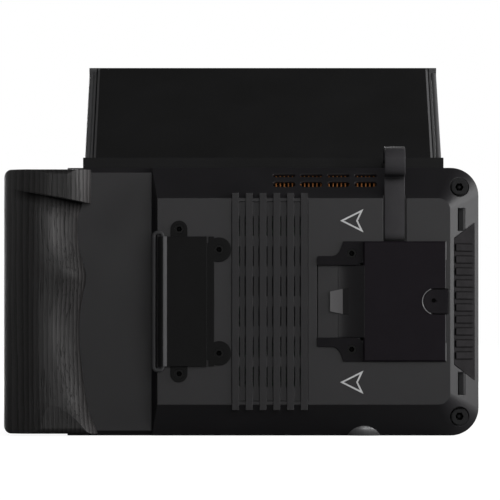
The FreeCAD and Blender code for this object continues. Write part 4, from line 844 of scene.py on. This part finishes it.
# %% Boss sleeve
SLEEVE_RADIUS = 8.06
SLEEVE_WALL = 0.3
SLEEVE_HEIGHT = 5.4
SLEEVE_LIFT = 0.05
sleeve_metal = bare_metal("satin_aluminium", "#5a5a5b", "#8c8c8d", 0.45, (0.2, 0.2, 3.0), bright=0.6)
bpy.ops.mesh.primitive_cylinder_add(vertices=96, radius=SLEEVE_RADIUS * MM, depth=SLEEVE_HEIGHT * MM,
                                    end_fill_type="NOTHING",
                                    location=(0, 0, (SLEEVE_HEIGHT / 2 + SLEEVE_LIFT) * MM))
sleeve = bpy.context.object
take(sleeve)
modify(sleeve, "SOLIDIFY", thickness=SLEEVE_WALL * MM)
bpy.ops.object.shade_smooth()
settle(sleeve, "boss_sleeve", "monitor", sleeve_metal)

# %% [markdown]
# ## Latch rim
# A half ring of wire stands round the release latch and keeps it from being pressed by chance. A
# torus already has the wire's round section, so its right side is deleted and the two cut ends
# are closed, rather than sweeping a circle along an arc.

# %% Latch rim
LATCH_X = 29.5
PLATE_TOP = -19.4
RIM_RADIUS = 5.45
RIM_WIRE = 0.22
RIM_OPEN = 1.6
RIM_SEGMENTS = 10
bpy.ops.mesh.primitive_torus_add(major_radius=RIM_RADIUS * MM, minor_radius=RIM_WIRE * MM, major_segments=72,
                                 minor_segments=RIM_SEGMENTS, rotation=(math.pi / 2, 0, 0),
                                 location=(LATCH_X * MM, PLATE_TOP * MM, MID_LEVEL * MM))
rim = bpy.context.object
open_mesh(rim)
choose(rim, lambda co: co.x > (LATCH_X - RIM_OPEN) * MM)
bpy.ops.mesh.delete(type="VERT")
bpy.ops.mesh.select_all(action="SELECT")
bpy.ops.mesh.fill_holes(sides=RIM_SEGMENTS)
bpy.ops.mesh.normals_make_consistent(inside=False)
take(rim)
bpy.ops.object.shade_smooth()
settle(rim, "latch_rim", "monitor", sleeve_metal)

# %% [markdown]
# ## Recess ramp
# A curved ramp leads from the floor of the recess up to the accessory plate. Its profile is a
# spline led by three points, which bends evenly where a bevelled block would show a crease. The
# curve's extrusion gives its width and Solidify its thickness.

# %% Recess ramp
RAMP_ROUTE = ((-11.0, -15.62), (-6.0, -15.62), (0.05, -19.38))
RAMP_HALF = 15.0
RAMP_SHEET = 2.5
bpy.ops.curve.primitive_nurbs_path_add(location=(0, 0, MID_LEVEL * MM))
ramp = bpy.context.object
take(ramp)
bpy.ops.object.mode_set(mode="EDIT")
bpy.ops.curve.select_all(action="DESELECT")
for point in ramp.data.splines[0].points[len(RAMP_ROUTE):]:
    point.select = True
bpy.ops.curve.delete(type="VERT")
bpy.ops.object.mode_set(mode="OBJECT")
bend = ramp.data.splines[0]
for point, (x, y) in zip(bend.points, RAMP_ROUTE):
    point.co = (x * MM, y * MM, 0, 1)
bend.order_u = 3
bend.use_endpoint_u = True
ramp.data.dimensions = "2D"
ramp.data.extrude = RAMP_HALF * MM
bpy.ops.object.convert(target="MESH")
modify(ramp, "SOLIDIFY", thickness=RAMP_SHEET * MM, offset=1.0)
bpy.ops.object.shade_flat()
settle(ramp, "recess_ramp", "monitor", finishes["shell"])
ramp_depths = [vertex.co.y / MM for vertex in ramp.data.vertices]
print("ramp from", round(min(ramp_depths), 2), "to", round(max(ramp_depths), 2))

# %% [markdown]
# ## Shadow strips and shims
# Near-black strips lie along the recess's left edge and the latch's straight sides, and thin shims fill the
# fork's inner corners. They are painted shade: dark pieces put where the gaps and corners lie in shadow, so
# that they show as fine black lines. They could be drawn in the finishes beside them, but as pieces they have
# depth and stay sharp from every side. Their colour is blacker than the gaskets.

# %% Shadow strips and shims
RECESS_LEFT = -19.7
RECESS_GAP = (0.02, 0.05)
STRIP_WIDTH = 0.4
STRIP_DEPTH = 1.3
STRIP_ROUND = 0.06
STRIP_RISE = 0.1
STRIP_SETBACK = 0.3
FORK_RIGHT = -0.55
SHIM = 1.3
SHIM_THICKNESS = 0.2
LATCH_HALF = 5.05
LATCH_STRIP_LEFT = LATCH_X - RIM_OPEN + STRIP_SETBACK
PLATE_RIGHT = 34.1
# Near black for the painted shade of the strips, shims and latch dot.
shadow_black_rubber = rubber("painted_shadow_black", "#020202", "#050505", 0.8)


def shadow_strip(name, low, high):
    """A near-black strip between two corners, in mm: painted shade for a gap or a corner."""
    low, high = Vector(low), Vector(high)
    rounded_block(name, (low + high) / 2, high - low, STRIP_ROUND, 2, shadow_black_rubber)


plateau_mm = plateau_y / MM
shadow_strip("recess_shadow_strip", (RECESS_LEFT + RECESS_GAP[0], plateau_mm + RECESS_GAP[1], MID_LEVEL - RAMP_HALF),
             (RECESS_LEFT + STRIP_WIDTH, plateau_mm + STRIP_DEPTH, MID_LEVEL + RAMP_HALF))
for side, sign in SIDES:
    low, high = sorted(MID_LEVEL + sign * reach for reach in (RAMP_HALF, RAMP_HALF + SHIM))
    shadow_strip("corner_shadow_shim_" + side, (FORK_RIGHT - SHIM, plateau_mm - SHIM_THICKNESS, low),
                 (FORK_RIGHT, plateau_mm, high))
for side, sign in SIDES:
    low, high = sorted(MID_LEVEL + sign * reach for reach in (LATCH_HALF, LATCH_HALF + STRIP_WIDTH))
    shadow_strip("latch_shadow_strip_" + side, (LATCH_STRIP_LEFT, PLATE_TOP - STRIP_RISE, low),
                 (PLATE_RIGHT, PLATE_TOP + STRIP_RISE, high))

# %% [markdown]
# ## Latch dot
# A dished rubber dot marks where to press the latch. It rides on the latch and sinks with it. A
# short cylinder is inset and its middle is pushed in, which leaves a lip.

# %% Latch dot
DOT_PLACE = (28.8, 56.4)
DOT_RADIUS = 0.9
DOT_DEPTH = 0.4
DOT_LIP = 0.25
DOT_DISH = 0.12
latch_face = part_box("release_latch")[0].y
bpy.ops.mesh.primitive_cylinder_add(vertices=40, radius=DOT_RADIUS * MM, depth=DOT_DEPTH * MM,
                                    location=(DOT_PLACE[0] * MM, latch_face, DOT_PLACE[1] * MM),
                                    rotation=(math.pi / 2, 0, 0))
dot = bpy.context.object
open_mesh(dot)
choose(dot, lambda co: co.y < latch_face)
bpy.ops.mesh.inset(thickness=DOT_LIP * MM)
bpy.ops.transform.translate(value=(0, DOT_DISH * MM, 0))
# The dot is near black, painted shade for its dish.
settle(dot, "latch_dot", "release_latch", shadow_black_rubber)

# %% [markdown]
# ## Stage and light
# The monitor stands on a pale floor before a white surround. The surround is white to the camera. Reflections
# see a dim studio with one white wall beyond the monitor, and diffuse light gets only a weak grey fill, so
# the dark plastic isn't washed out. The floor adds its lit colour to a pale base, which keeps the shadow, and
# near the monitor the base is dimmed as painted shade. A soft key lamp and a nearer small one stand at the
# right and model the slopes, a large one beside the camera lights the rear, and two more reach the screen
# side and the left.

# %% Surround
FILL = 0.07
STUDIO = 0.05
WHITE = (1, 1, 1, 1)


def seen_rays(tree):
    """Two masks: rays straight from the camera, and all rays that show the thing itself."""
    ray = add(tree, "LightPath")
    seen = add(tree, "Math", {0: ray.outputs["Is Camera Ray"], 1: ray.outputs["Is Glossy Ray"]},
               operation="MAXIMUM")
    seen = add(tree, "Math", {0: seen.outputs[0], 1: ray.outputs["Is Transmission Ray"]}, operation="MAXIMUM")
    return ray.outputs["Is Camera Ray"], seen.outputs[0]


world = bpy.data.worlds.new("white_surround")
bpy.context.scene.world = world
world.use_nodes = True
tree = world.node_tree
tree.nodes.clear()
direct, seen = seen_rays(tree)
way = add(tree, "TexCoord")
across = add(tree, "SeparateXYZ", {0: way.outputs["Generated"]})
beyond = add(tree, "MapRange", {"Value": across.outputs["Y"], "From Min": 0.75, "From Max": 0.95,
                                "To Min": STUDIO, "To Max": 1.0})
shown = add(tree, "Math", {0: beyond.outputs["Result"], 1: direct}, operation="MAXIMUM")
level = add(tree, "Mix", {0: seen, 2: FILL, 3: shown.outputs[0]}, data_type="FLOAT")
white = add(tree, "Background", {"Color": WHITE, "Strength": level.outputs[0]})
add(tree, "OutputWorld", {"Surface": white.outputs["Background"]})
print("diffuse fill", FILL, "reflected studio", STUDIO)

# %% Floor
FLOOR_SIZE = 30
FLOOR_BASE = 0.9
FLOOR_SHADE_REACH = (0.6, 1.6)
bpy.ops.mesh.primitive_plane_add(size=FLOOR_SIZE)
floor = bpy.context.object
floor.name = "floor"
material, tree, shader, place = start_finish("pale_floor")
direct, seen = seen_rays(tree)
# Painted shade: the floor's glow is dimmed near the middle and comes back between these distances in metres;
# to the camera it drops only to the base, in reflections to nothing.
away = add(tree, "VectorMath", {0: place}, operation="LENGTH")
clear = add(tree, "MapRange", {"Value": away.outputs["Value"], "From Min": FLOOR_SHADE_REACH[0],
                               "From Max": FLOOR_SHADE_REACH[1]})
plain = add(tree, "MapRange", {"Value": clear.outputs["Result"], "To Min": FLOOR_BASE, "To Max": 1.0})
lift = add(tree, "Mix", {0: direct, 2: clear.outputs["Result"], 3: plain.outputs["Result"]},
           data_type="FLOAT")
lift = add(tree, "Math", {0: seen, 1: lift.outputs[0]}, operation="MULTIPLY")
wire(tree, shader, Base_Color=linear("#8c8c8c"), Roughness=0.9, Specular_IOR_Level=0.0,
     Emission_Color=WHITE, Emission_Strength=lift.outputs[0])
floor.data.materials.append(material)
print("floor size m", FLOOR_SIZE)

# %% Lamps
AIM = Vector((-0.05, -0.005, 0.07))
# Place in metres, size in metres, power in watts.
LAMPS = {
    "right_key_lamp": ((1.3, -0.46, 0.4), 0.7, 14.0),
    "right_side_lamp": ((0.85, 0.03, 0.2), 0.5, 4.0),
    "front_soft_lamp": ((0.5, -2.2, 0.4), 1.6, 29.0),
    "screen_side_lamp": ((-0.5, 2.2, 0.45), 1.2, 26.0),
    "left_soft_lamp": ((-1.6, 0.1, 0.6), 0.8, 3.0),
}
for name, (stand, size, power) in LAMPS.items():
    bpy.ops.object.light_add(type="AREA", location=stand)
    lamp = bpy.context.object
    lamp.name = name
    lamp.data.shape = "SQUARE"
    lamp.data.size = size
    lamp.data.energy = power
    lamp.visible_camera = False
    lamp.rotation_euler = (AIM - lamp.location).to_track_quat("-Z", "Y").to_euler()
print("lamps", len(LAMPS))

# %% [markdown]
# ## Camera
# The photograph is a plain rear view with hardly any perspective, so a long lens looks from far
# off. Its length follows from how many millimetres a pixel covers at the monitor. The camera
# stands a little below the middle and is tilted up, so that the hood is as tall as in the
# photograph.

# %% Camera
PIXEL = 0.416
VIEW_DISTANCE = 2.2
VIEW_CENTRE = (-47.6, 77.4)
CAMERA_DROP = 34.0
FRAME_PIXELS = 500
SENSOR = 36.0
camera_data = bpy.data.cameras.new("rear_view")
camera = bpy.data.objects.new("rear_view", camera_data)
bpy.context.scene.collection.objects.link(camera)
camera_data.sensor_width = SENSOR
camera_data.lens = SENSOR * VIEW_DISTANCE / (PIXEL * MM * FRAME_PIXELS)
camera_data.clip_end = 100.0
camera.location = (VIEW_CENTRE[0] * MM, plateau_y - VIEW_DISTANCE, (VIEW_CENTRE[1] - CAMERA_DROP) * MM)
camera.rotation_euler = (math.pi / 2 + math.atan(CAMERA_DROP * MM / VIEW_DISTANCE), 0, 0)
bpy.context.scene.camera = camera
bpy.context.scene.view_settings.view_transform = "Standard"
print("lens", round(camera_data.lens, 1))
